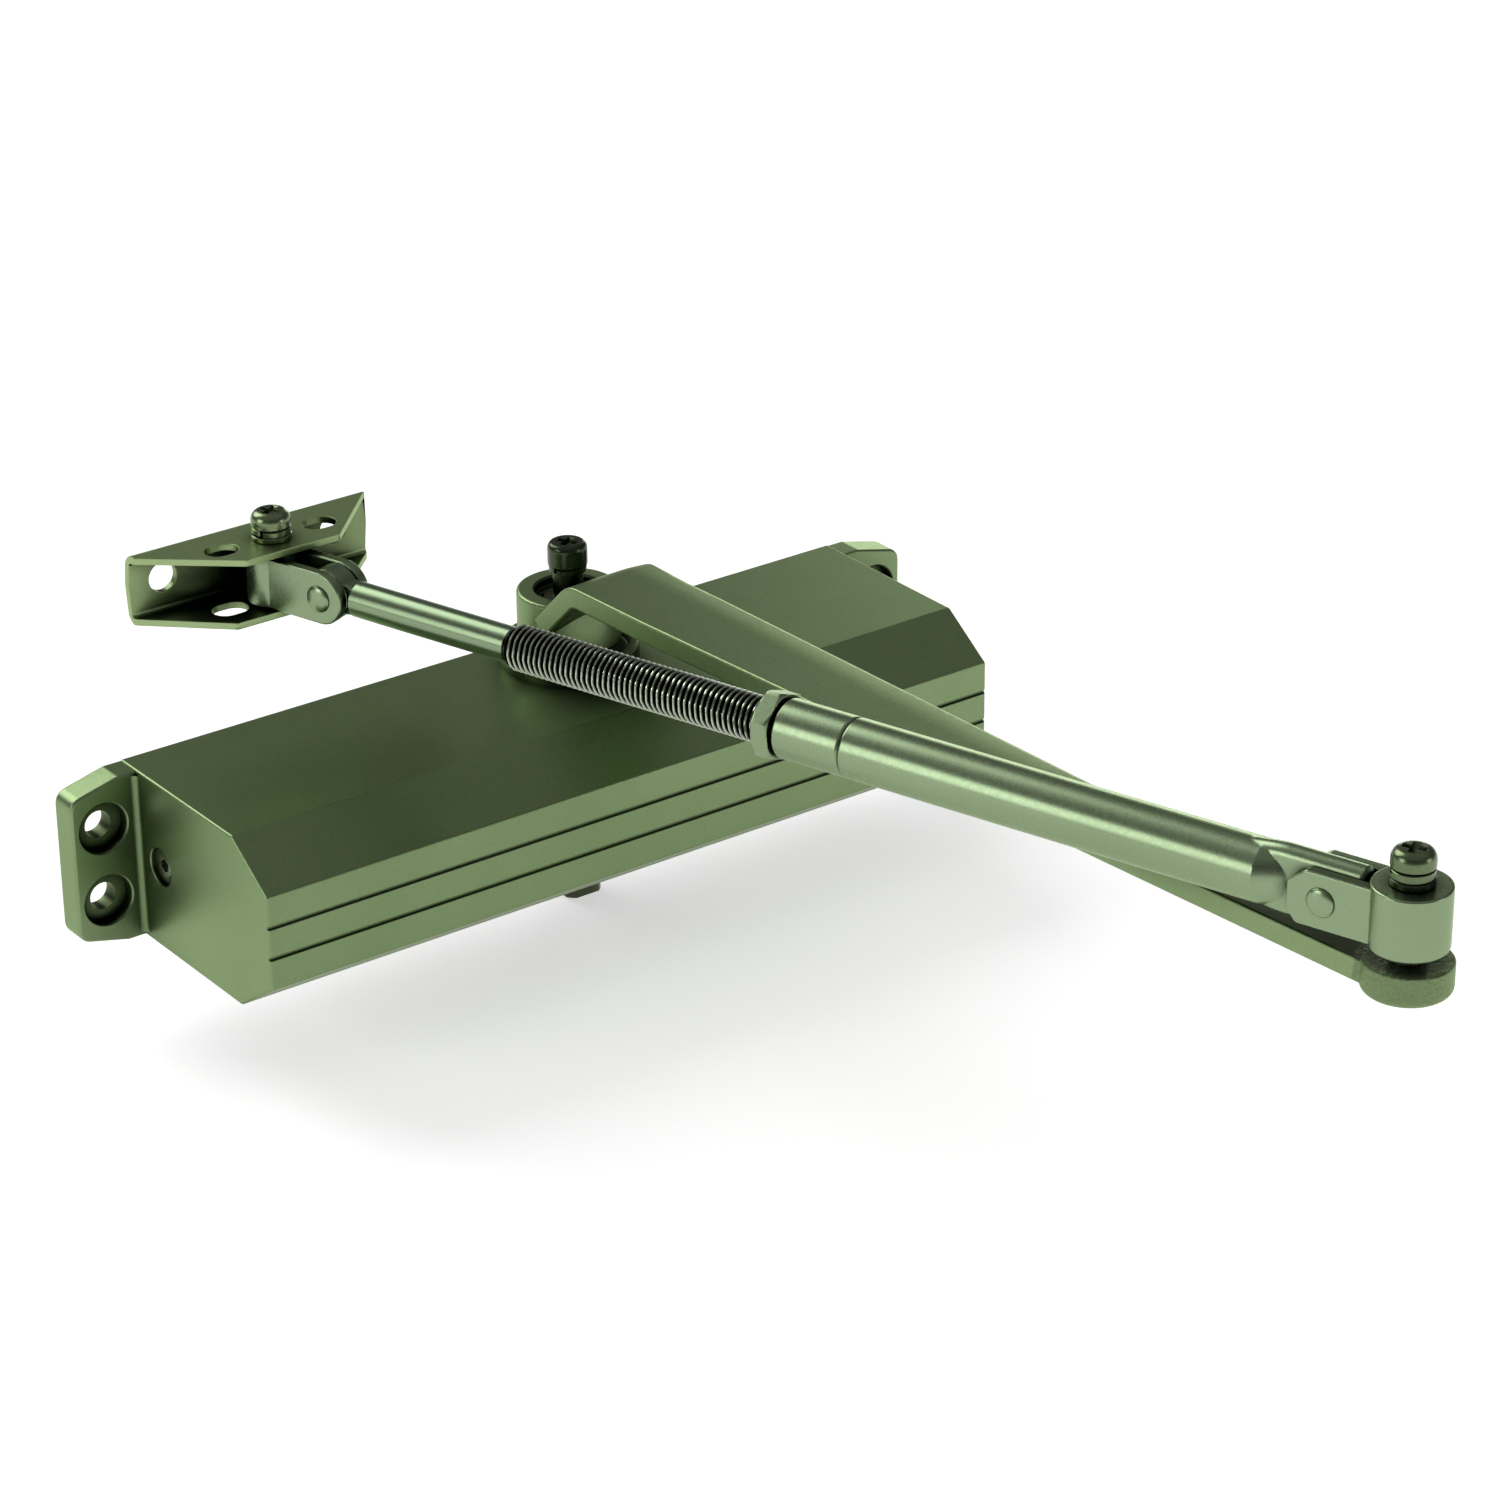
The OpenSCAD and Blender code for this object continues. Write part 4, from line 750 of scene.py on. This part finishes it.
def spring_washer(low, high, start=200.0):
    """A split washer: its wire rises by a fifth of the height from one end to the other."""
    rise = (high - low) * 0.2
    thick = high - low - rise
    r_in, r_out, e = WASHER_HOLE, 4.75, 0.15
    section = ((r_in, e), (r_in + e, 0), (r_out - e, 0), (r_out, e), (r_out, thick - e), (r_out - e, thick),
               (r_in + e, thick), (r_in, thick - e))
    rings = []
    for i in range(61):
        a = radians(start + 350.0 * i / 60)
        rings.append([(r * cos(a), r * sin(a), low + rise * i / 60 + h) for r, h in section])
    return swept(rings)


def flat_washer(low, high):
    r_in, r_out, e = WASHER_HOLE, 4.9, 0.2
    profile = [(r_in, low), (r_out - e, low), (r_out, low + e), (r_out, high - e), (r_out - e, high),
               (r_in, high)]
    return turned(profile, None, 72, closed=True)


# %% The three screws with their washers
ON_SPINDLE, ON_ELBOW, ON_PIVOT = (AT_SPINDLE, "arm"), (AT_ELBOW, "arm"), (AT_PIVOT, "foot")
FASTENERS = [
    ("arm_pan_screw", "arm_screw", ON_SPINDLE, dark_screw,
     pan_screw(28.5, 48.1, 54.0, 5.0, (3.85, 39.1, 46.3), 0.76, 0.7)),
    ("arm_split_washer", "arm_spring_washer", ON_SPINDLE, dark_screw, spring_washer(46.3, 48.08)),
    ("elbow_pan_screw", "elbow_screw", ON_ELBOW, screw_plate, pan_screw(44.9, 72.8, 76.9, 4.85)),
    ("elbow_flat_washer", "elbow_washer", ON_ELBOW, dark_screw, flat_washer(68.82, 70.4)),
    ("elbow_split_washer", "elbow_spring_washer", ON_ELBOW, screw_plate, spring_washer(70.5, 72.75, 130.0)),
    ("pivot_pan_screw", "pivot_screw", ON_PIVOT, screw_plate, pan_screw(52.3, 74.1, 78.0, 4.85)),
    ("pivot_flat_washer", "pivot_washer", ON_PIVOT, screw_plate, flat_washer(70.92, 72.2)),
    ("pivot_split_washer", "pivot_spring_washer", ON_PIVOT, screw_plate, spring_washer(72.3, 74.05, 215.0)),
]
for name, node, (place, body_name), material, obj in FASTENERS:
    done(moved(obj, place), name, body_name, material, [node])

# %% [markdown]
# ## Knuckles and rivets
# At each end of the forearm a knuckle turns on its screw. It is a short cylinder with two flat tabs, and the
# flattened end of the tube or rod swings between the tabs on a rivet, so the forearm can also tip a little.

# %% A knuckle


def knuckle(r, low, high, outer, inner, tab, rivet, gap_from, foot_round):
    """A drum between two heights. tab is the outline of its tabs, as (x, z) pairs from the forearm's axis.
    The gap between the tabs starts at gap_from and is twice inner wide; outer is half the width over them."""
    low, high = low - FOREARM_Z, high - FOREARM_Z
    profile = [(0, low), (r - foot_round, low)] + arc(r - foot_round, low + foot_round, foot_round, -90, 0, 7)
    block = turned(profile + arc(r - 0.5, high - 0.5, 0.5, 0, 90, 4) + [(0, high)], None, 96)
    for near in (-outer, inner):
        weld(block, plate(tab, -(near + outer - inner), -near, 0.45, STOOD))
    gap = [(gap_from, -inner), (60, -inner), (60, inner), (gap_from, inner)]
    cut(block, prism(gap, low - 2, high + 2))
    hole = [(0, low - 1), (4.4, low - 1), (4.4, low), (4.1, low + 0.3), (4.1, high - 0.3), (4.4, high),
            (4.4, high + 1), (0, high + 1)]
    cut(block, turned(hole, None, 48))
    cut(block, cylinder(2.52, -9, 9, stood_at(rivet)))
    return block


def rivet_between(outer, rivet):
    """A solid rivet with two domed heads, each a 1 mm dome on a 0.1 mm rim."""
    shank, head_r, rim = 2.5, 3.3, outer + 0.1
    head = [(head_r, outer), (head_r, rim)]
    head += [(head_r * cos(radians(a)), rim + sin(radians(a))) for a in range(9, 90, 9)] + [(0, outer + 1.1)]
    profile = [(r, -z) for r, z in reversed(head)] + [(shank, -outer), (shank, outer)] + head
    return turned(profile, stood_at(rivet), 64)


def forearm_piece(obj, name, body, node, place=ALONG_FOREARM, material=forearm_bronze, crease=32):
    done(moved(obj, place), name, body, material, [node], crease)


# %% Elbow knuckle
elbow_tab = rounded([(0, -6.4, 0), (23.6, -6.4, 1.2), (25.9, -3.6, 1.6), (25.9, 3.0, 1.6), (21.6, 6.4, 1.6),
                     (0, 6.4, 0)], 4)
piece = knuckle(8.7, 53.5, 68.7, 6.0, 3.05, elbow_tab, ELBOW_RIVET, 8.7, 1.8)
forearm_piece(piece, "elbow_knuckle_block", "elbow", "elbow_knuckle")
forearm_piece(rivet_between(6.0, ELBOW_RIVET), "elbow_domed_rivet", "elbow", "elbow_rivet")

# %% Shoe knuckle
round_end = [(18.9 + 6.5 * sin(radians(a)), -6.5 * cos(radians(a))) for a in range(0, 181, 10)]
shoe_tab = [(0, -6.5)] + round_end + [(0, 6.5)]
piece = knuckle(6.5, 54.9, 68.8, 5.5, 2.8, shoe_tab, SHOE_RIVET, 11.6, 0.6)
forearm_piece(piece, "shoe_knuckle_block", "shoe", "shoe_knuckle", FROM_PIVOT)
forearm_piece(rivet_between(5.5, SHOE_RIVET), "shoe_domed_rivet", "shoe", "shoe_rivet", FROM_PIVOT)

# %% [markdown]
# ## Forearm tube
# One end of a drawn tube is pressed flat into a tongue. The press leaves a short ramp on each side, which
# meets the flat in a curve like the end of a parabola. Each section is the larger of a pressed slot shape and
# what is left of the round tube at that place.

# %% Tube sections
TUBE_R, FLAT, TALL = 7.0, 2.8, 8.1
FLAT_FROM, RAMP_TO, TUBE_END = 27.15, 33.95, 138.55
TUBE_POINTS = 120


def smooth(t):
    t = max(0.0, min(1.0, t))
    return t * t * (3 - 2 * t)


def slot_radius(a, half, tall):
    """Distance from the middle to the edge of a slot shape, in direction a."""
    c, s = abs(cos(a)), abs(sin(a))
    straight = tall - half
    if c > 1e-9 and half / c * s <= straight:
        return half / c
    b = straight * s
    return b + sqrt(max(0.0, b * b - straight * straight + half * half))


def lens_radius(a, shift):
    """The same for a round tube pushed in by shift from both sides."""
    if shift >= TUBE_R:
        return 0.0
    c = abs(cos(a))
    return -shift * c + sqrt(max(0.0, TUBE_R ** 2 - (shift * sin(a)) ** 2))


def tube_ring(x):
    ramp = max(0.0, RAMP_TO - x) * (TUBE_R - FLAT) / (RAMP_TO - FLAT_FROM)
    tall = TUBE_R + (TALL - TUBE_R) * smooth((40 - x) / 12)
    ring = []
    for i in range(TUBE_POINTS):
        a = 2 * pi * i / TUBE_POINTS
        r = max(slot_radius(a, FLAT, tall) * (1 - smooth((x - 37) / 4) * 0.12), lens_radius(a, ramp))
        ring.append((x, r * cos(a), r * sin(a)))
    return ring


# %% Tube sweep
TIP = 9.45
rings = []
for k in range(6):
    a = pi / 2 * k / 5
    corner = 1.0
    shrink = corner * (1 - sin(a))
    ring = []
    for i in range(TUBE_POINTS):
        b = 2 * pi * i / TUBE_POINTS
        r = slot_radius(b, FLAT - shrink * 0.5, TALL - 1.6 * (1 - sin(a)) - 1.2 * (5 - k) / 5)
        ring.append((TIP + corner * (1 - cos(a)), r * cos(b), r * sin(b)))
    rings.append(ring)
rings += [tube_ring(x) for x in (11.0, 13.0, 19.0, 25.0, 26.5)]
rings += [tube_ring(FLAT_FROM + 0.34 * k) for k in range(0, 42)]
rings += [tube_ring(x) for x in (43.0, 60.0, 90.0, 120.0, TUBE_END - 0.7)]
for back, radius in ((0.3, 6.85), (0.0, 6.45)):
    rings.append([(x, radius * y / TUBE_R, radius * z / TUBE_R) for x, y, z in tube_ring(TUBE_END - back)])
tube = swept(rings)
cut(tube, cylinder(5.8, 37.95, 140, LAID_X, 72))
cut(tube, cylinder(2.56, -9, 9, stood_at(ELBOW_RIVET)))
forearm_piece(tube, "pressed_forearm_tube", "forearm", "forearm_tube", crease=28)

# %% [markdown]
# ## Thread bush, adjusting rod and lock nut
# The bush is brazed into the tube's end and is tapped for the rod. The rod's thread is 11 mm across with a
# pitch of about 1.5 mm. The thread is a real helix: from ring to ring of points, its crest stands a little
# further round the rod.

# %% Bush
BUSH_END = 156.45
bush = [(5.55, TUBE_END + 0.4), (6.4, TUBE_END), (6.8, TUBE_END + 0.3), (7.0, TUBE_END + 0.8)]
bush += arc(6.3, BUSH_END - 0.7, 0.7, 0, 90, 4) + [(5.9, BUSH_END), (5.55, BUSH_END - 0.3)]
bush = turned(bush, LAID_X, 96, closed=True)
forearm_piece(bush, "tapped_thread_bush", "forearm", "thread_bush")

# %% Rod with its thread
PITCH, THREAD_TOP, THREAD_ROOT, ROD_R = 1.53, 5.5, 4.5, 4.35
THREAD_FROM, THREAD_TO = 155.8, 234.0
RIVET_AT = FOREARM_LENGTH - SHOE_RIVET
ROD_POINTS = 48


def thread_ring(x):
    ring = []
    for i in range(ROD_POINTS):
        a = 2 * pi * i / ROD_POINTS
        turn = (x / PITCH - i / ROD_POINTS) % 1.0
        tooth = min(1.0, max(0.0, 1.2 - abs(turn - 0.5) * 3.2))
        fade = smooth((x - THREAD_FROM) / 1.5) * smooth((THREAD_TO - x) / 1.5)
        # the thread fades into a nearly full bar at its start and into its root at its end
        plain = 0.96 if x < THREAD_FROM + 2 else 0.0
        r = THREAD_ROOT + (THREAD_TOP - THREAD_ROOT) * (tooth * fade + (1 - fade) * plain)
        ring.append((x, r * cos(a), r * sin(a)))
    return ring


def round_ring(x, r):
    angles = [2 * pi * i / ROD_POINTS for i in range(ROD_POINTS)]
    return [(x, r * cos(a), r * sin(a)) for a in angles]


rings = [round_ring(90.6, 4.9), round_ring(91.2, 5.45), round_ring(155.3, 5.45)]
count = int((THREAD_TO - THREAD_FROM) / PITCH * 8)
rings += [thread_ring(THREAD_FROM + (THREAD_TO - THREAD_FROM) * k / count) for k in range(count + 1)]
rings += [round_ring(234.7, ROD_R), round_ring(RIVET_AT - 11.0, ROD_R), round_ring(RIVET_AT - 8.2, ROD_R),
          round_ring(RIVET_AT - 7.6, ROD_R - 0.5)]
rod = swept(rings)
disc = [(6.4 * cos(2 * pi * i / 72), 6.4 * sin(2 * pi * i / 72)) for i in range(72)]
tongue = plate(disc, -2.6, 2.6, 0.5, stood_at(RIVET_AT))
neck = [(-9.0, -3.4), (0, -4.6), (0, 4.6), (-9.0, 3.4)]
weld(tongue, plate(neck, -2.4, 2.4, 0.6, stood_at(RIVET_AT)))
weld(rod, tongue)
cut(rod, cylinder(2.56, -9, 9, stood_at(RIVET_AT)))
forearm_piece(rod, "threaded_adjusting_rod", "rod", "adjusting_rod", material=rod_bronze, crease=24)

# %% Lock nut
NUT_FLAT, NUT_FROM, NUT_TO = 7.5, 156.97, 161.53
# the nut came to rest with one corner 22 degrees above the level on the near side
NUT_CORNER = radians(22)


def nut_ring(x, depth):
    """The hexagon, cut back by a 30 degree chamfer near each face."""
    ring, n = [], 96
    for i in range(n):
        a = 2 * pi * i / n
        b = (a - NUT_CORNER) % (pi / 3) - pi / 6
        r = min(NUT_FLAT / cos(b) - 0.05, 7.35 + depth * 1.75)
        ring.append((x, r * cos(a), r * sin(a)))
    return ring


depths = (0.0, 0.15, 0.3, 0.45, 0.6, 0.8)
rings = [nut_ring(NUT_FROM + d, d) for d in depths] + [nut_ring(NUT_TO - d, d) for d in reversed(depths)]
nut = swept(rings)
hole = [(0, NUT_FROM - 1), (6.1, NUT_FROM - 1), (6.1, NUT_FROM), (5.55, NUT_FROM + 0.5), (5.55, NUT_TO - 0.5),
        (6.1, NUT_TO), (6.1, NUT_TO + 1), (0, NUT_TO + 1)]
cut(nut, turned(hole, LAID_X, 56))
forearm_piece(nut, "chamfered_lock_nut", "lock_nut", "lock_nut")

# %% [markdown]
# ## Foot bracket
# The bracket is sheet steel 1.8 mm thick, bent twice into a channel. Its back plate takes two screws in round
# holes, and its ends bow out a little beside them. The two other plates, cut to a blunt wedge, carry oval
# holes beside the pivot.

# %% Bracket: the bent sheet
SHEET, FOOT_LOW, FOOT_HIGH, FOOT_BACK = 1.8, 52.8, 70.9, 13.0
OUTER, INNER, HOLES_Z, FOOT_HALF = 3.0, 1.2, 62.95, 33.3
outside = [(-24, FOOT_HIGH)] + arc(FOOT_BACK - OUTER, FOOT_HIGH - OUTER, OUTER, 90, 0, 7)
outside += arc(FOOT_BACK - OUTER, FOOT_LOW + OUTER, OUTER, 0, -90, 7) + [(-24, FOOT_LOW)]
inside = [(-24, FOOT_LOW + SHEET)] + arc(FOOT_BACK - OUTER, FOOT_LOW + OUTER, INNER, -90, 0, 5)
inside += arc(FOOT_BACK - OUTER, FOOT_HIGH - OUTER, INNER, 0, 90, 5) + [(-24, FOOT_HIGH - SHEET)]
bracket = swept([[(x, y, z) for y, z in outside + inside] for x in (-FOOT_HALF, FOOT_HALF)])


def wedge(front, left, right, left_slant, low, high):
    """The part of the sheet between two heights that is kept, seen from above."""
    shape = [(-FOOT_HALF, FOOT_BACK + 2, 0), (FOOT_HALF, FOOT_BACK + 2, 0),
             (FOOT_HALF, FOOT_BACK - SHEET, 0.5), (right, -front, 1.6), (left, -front, 1.6),
             (-FOOT_HALF, FOOT_BACK - left_slant, 0.5)]
    return prism(rounded(shape, 4), low, high)


keep = wedge(8.5, -11.9, 13.9, 3.5, 61.85, 75.0)
weld(keep, wedge(6.7, -14.3, 14.3, 1.8, 50.0, 61.86))
boolean(bracket, [keep], "INTERSECT")
CORNER_X = 32.7
bowed = [(-CORNER_X, FOOT_LOW - 1, 0), (CORNER_X, FOOT_LOW - 1, 0), (FOOT_HALF, HOLES_Z, 8),
         (CORNER_X, FOOT_HIGH + 1, 0), (-CORNER_X, FOOT_HIGH + 1, 0), (-FOOT_HALF, HOLES_Z, 8)]
bowed = rounded(bowed, 4)
boolean(bracket, [swept([[(x, y, z) for x, z in bowed] for y in (-20.0, 20.0)])], "INTERSECT")

# %% Bracket: holes and edges
for x in (-23.9, 23.9):
    mouth = Matrix.Translation((x, FOOT_BACK, HOLES_Z)) @ Matrix.Rotation(-pi / 2, 4, "X")
    cut(bracket, drill(3.75, 6, mouth, 0.25, 48))


def oval_punch(x, y, length, width, low, high):
    shift = (length - width) / 2
    shape = [(x + side * shift + width / 2 * cos(radians(a)), y + width / 2 * sin(radians(a)))
             for side, first in ((1, -90), (-1, 90)) for a in range(first, first + 181, 12)]
    return prism(shape, low, high)


for side in (-1, 1):
    cut(bracket, oval_punch(side * 13.6, 0.5, 8.5, 6.5, FOOT_HIGH - 4, FOOT_HIGH + 2))
    cut(bracket, oval_punch(side * 11.35, 1.9, 9.2, 7.0, FOOT_LOW - 2, FOOT_LOW + 4))
cut(bracket, cylinder(3.05, 50, 72))
soft = bracket.modifiers.new("pressed edges", "BEVEL")
soft.width, soft.segments, soft.limit_method, soft.angle_limit = 0.25, 2, "ANGLE", radians(50)
soft.use_clamp_overlap = False
settle(bracket)
# nothing stands out behind the back plate
for v in bracket.data.vertices:
    v.co.y = min(v.co.y, FOOT_BACK)
done(moved(bracket, AT_PIVOT), "bent_foot_bracket", "foot", sheet_bronze, ["foot_bracket"])

# %% [markdown]
# ## Parts that keep their CAD shape
# The spindle, the valves, the bushes and the parts inside the body have the right shape already and only need
# their finishes.

# %% Finishes for the CAD nodes
KEPT = {
    spindle_steel: ["pinion_spindle"],
    ground_steel: ["upper_needle_bearing", "lower_needle_bearing", "adjuster_screw", "spring_seat",
                   "check_ball", "check_retainer", "elbow_bush", "pivot_bush"],
    valve_steel: ["sweep_valve", "latch_valve"],
    spring_wire: ["main_spring", "piston_ring_left", "piston_ring_right"],
    milled_steel: ["piston"],
    seal_black: ["upper_shaft_seal", "lower_shaft_seal", "upper_gland_ring", "lower_gland_ring",
                 "end_plug_ring", "adjuster_ring", "sweep_valve_ring", "latch_valve_ring"],
}
for material, nodes in KEPT.items():
    for node in nodes:
        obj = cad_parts[node]
        if not obj.material_slots:
            obj.data.materials.append(material)
        for place in obj.material_slots:
            place.material = material
print("kept nodes:", sum(len(n) for n in KEPT.values()))

# %% [markdown]
# ## Floor and light
# The closer stands on white in the picture, so a plain white floor lies just under the spindle's free end.
# Paper that glows a little of its own gives the even white, and it still keeps the closer's soft shadow. The
# room round it is light grey at floor level, with dark walls and a grey ceiling, which the metal mirrors.

# %% Floor
FLOOR_TOP, FLOOR_HALF, FLOOR_GLOW = -43.0, 6000, 0.56
sheet = [(FLOOR_HALF * u, FLOOR_HALF * v) for u, v in ((-1, -1), (1, -1), (1, 1), (-1, 1))]
floor = prism(sheet, FLOOR_TOP - 0.5, FLOOR_TOP)
floor.name = "studio_floor"
floor.data.transform(Matrix.Scale(MM, 4))
paper, tree = new_material("white_studio_paper")
fibre = noise(tree, add(tree, "ShaderNodeTexCoord").outputs["Object"], 40.0, 2.0)
white = add(tree, "ShaderNodeBsdfDiffuse", {"Color": blend(tree, fibre, "#fbfbfb", "#ffffff")})
rays = add(tree, "ShaderNodeLightPath")
# the glow shows to the camera and in reflections, and casts no light on matt surfaces
seen = calc(tree, "MAXIMUM", rays.outputs["Is Camera Ray"], rays.outputs["Is Glossy Ray"])
seen = calc(tree, "MAXIMUM", seen, rays.outputs["Is Transmission Ray"])
lit = calc(tree, "MULTIPLY", seen, FLOOR_GLOW)
glow = add(tree, "ShaderNodeEmission", {"Strength": lit}, Color=(1, 1, 1, 1))
paper_skin = add(tree, "ShaderNodeAddShader", {0: white.outputs["BSDF"], 1: glow.outputs["Emission"]})
add(tree, "ShaderNodeOutputMaterial", {"Surface": paper_skin.outputs["Shader"]})
floor.data.materials.append(paper)
SCRATCH.objects.unlink(floor)
bpy.context.scene.collection.objects.link(floor)
floor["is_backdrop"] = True

# %% Lamps
AIM = Vector((0, -0.1, 0))


def softbox(name, place, size, power):
    """place and the side of the square are in metres, the power in watts."""
    data = bpy.data.lights.new(name, "AREA")
    data.shape, data.size, data.energy = "SQUARE", size, power
    lamp = bpy.data.objects.new(name, data)
    bpy.context.scene.collection.objects.link(lamp)
    lamp.location = place
    lamp.rotation_euler = (AIM - Vector(place)).to_track_quat("-Z", "Y").to_euler()


softbox("left_softbox", (-1.7, 0.2, 0.6), 0.8, 7)
softbox("right_back_softbox", (1.45, 1.25, 0.32), 0.65, 3.5)
softbox("right_front_softbox", (0.9, -1.4, 0.4), 0.5, 1.8)
back = bpy.data.lights.new("high_back_light", "SUN")
back.energy, back.angle = 1.45, radians(42)
back_lamp = bpy.data.objects.new("high_back_light", back)
bpy.context.scene.collection.objects.link(back_lamp)
back_lamp.rotation_euler = Vector((-0.16, 0.78, 0.61)).to_track_quat("Z", "Y").to_euler()

# %% Surround: light grey at floor level, dark walls, a grey ceiling
world = bpy.data.worlds.new("grey_surround")
bpy.context.scene.world = world
world.use_nodes = True
tree = world.node_tree
tree.nodes.clear()
height = add(tree, "ShaderNodeSeparateXYZ", {"Vector": add(tree, "ShaderNodeTexCoord").outputs["Generated"]})
walls = add(tree, "ShaderNodeValToRGB", {"Fac": height.outputs["Z"]})
stops = walls.color_ramp.elements
for place, level in ((0.0, 0.36), (0.3, 0.12), (0.5, 0.12), (0.85, 0.3)):
    stop = stops[0] if place == 0.0 else stops.new(place)
    stop.position, stop.color = place, (level, level, level, 1)
stops.remove(stops[-1])
sky = add(tree, "ShaderNodeBackground", {"Color": walls.outputs["Color"]})
add(tree, "ShaderNodeOutputWorld", {"Surface": sky.outputs["Background"]})
bpy.context.scene.view_settings.view_transform = "Standard"
print("lamps and surround set")

# %% [markdown]
# ## Finish
# The sizes of the CAD model and of the dressed model are printed side by side.

# %% Clear away the scratch pieces and print the sizes
bpy.data.collections.remove(SCRATCH)
visual_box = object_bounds()
for label, box in (("cad", cad_box), ("visual", visual_box)):
    print(label, [tuple(round(c, 4) for c in v) for v in box])
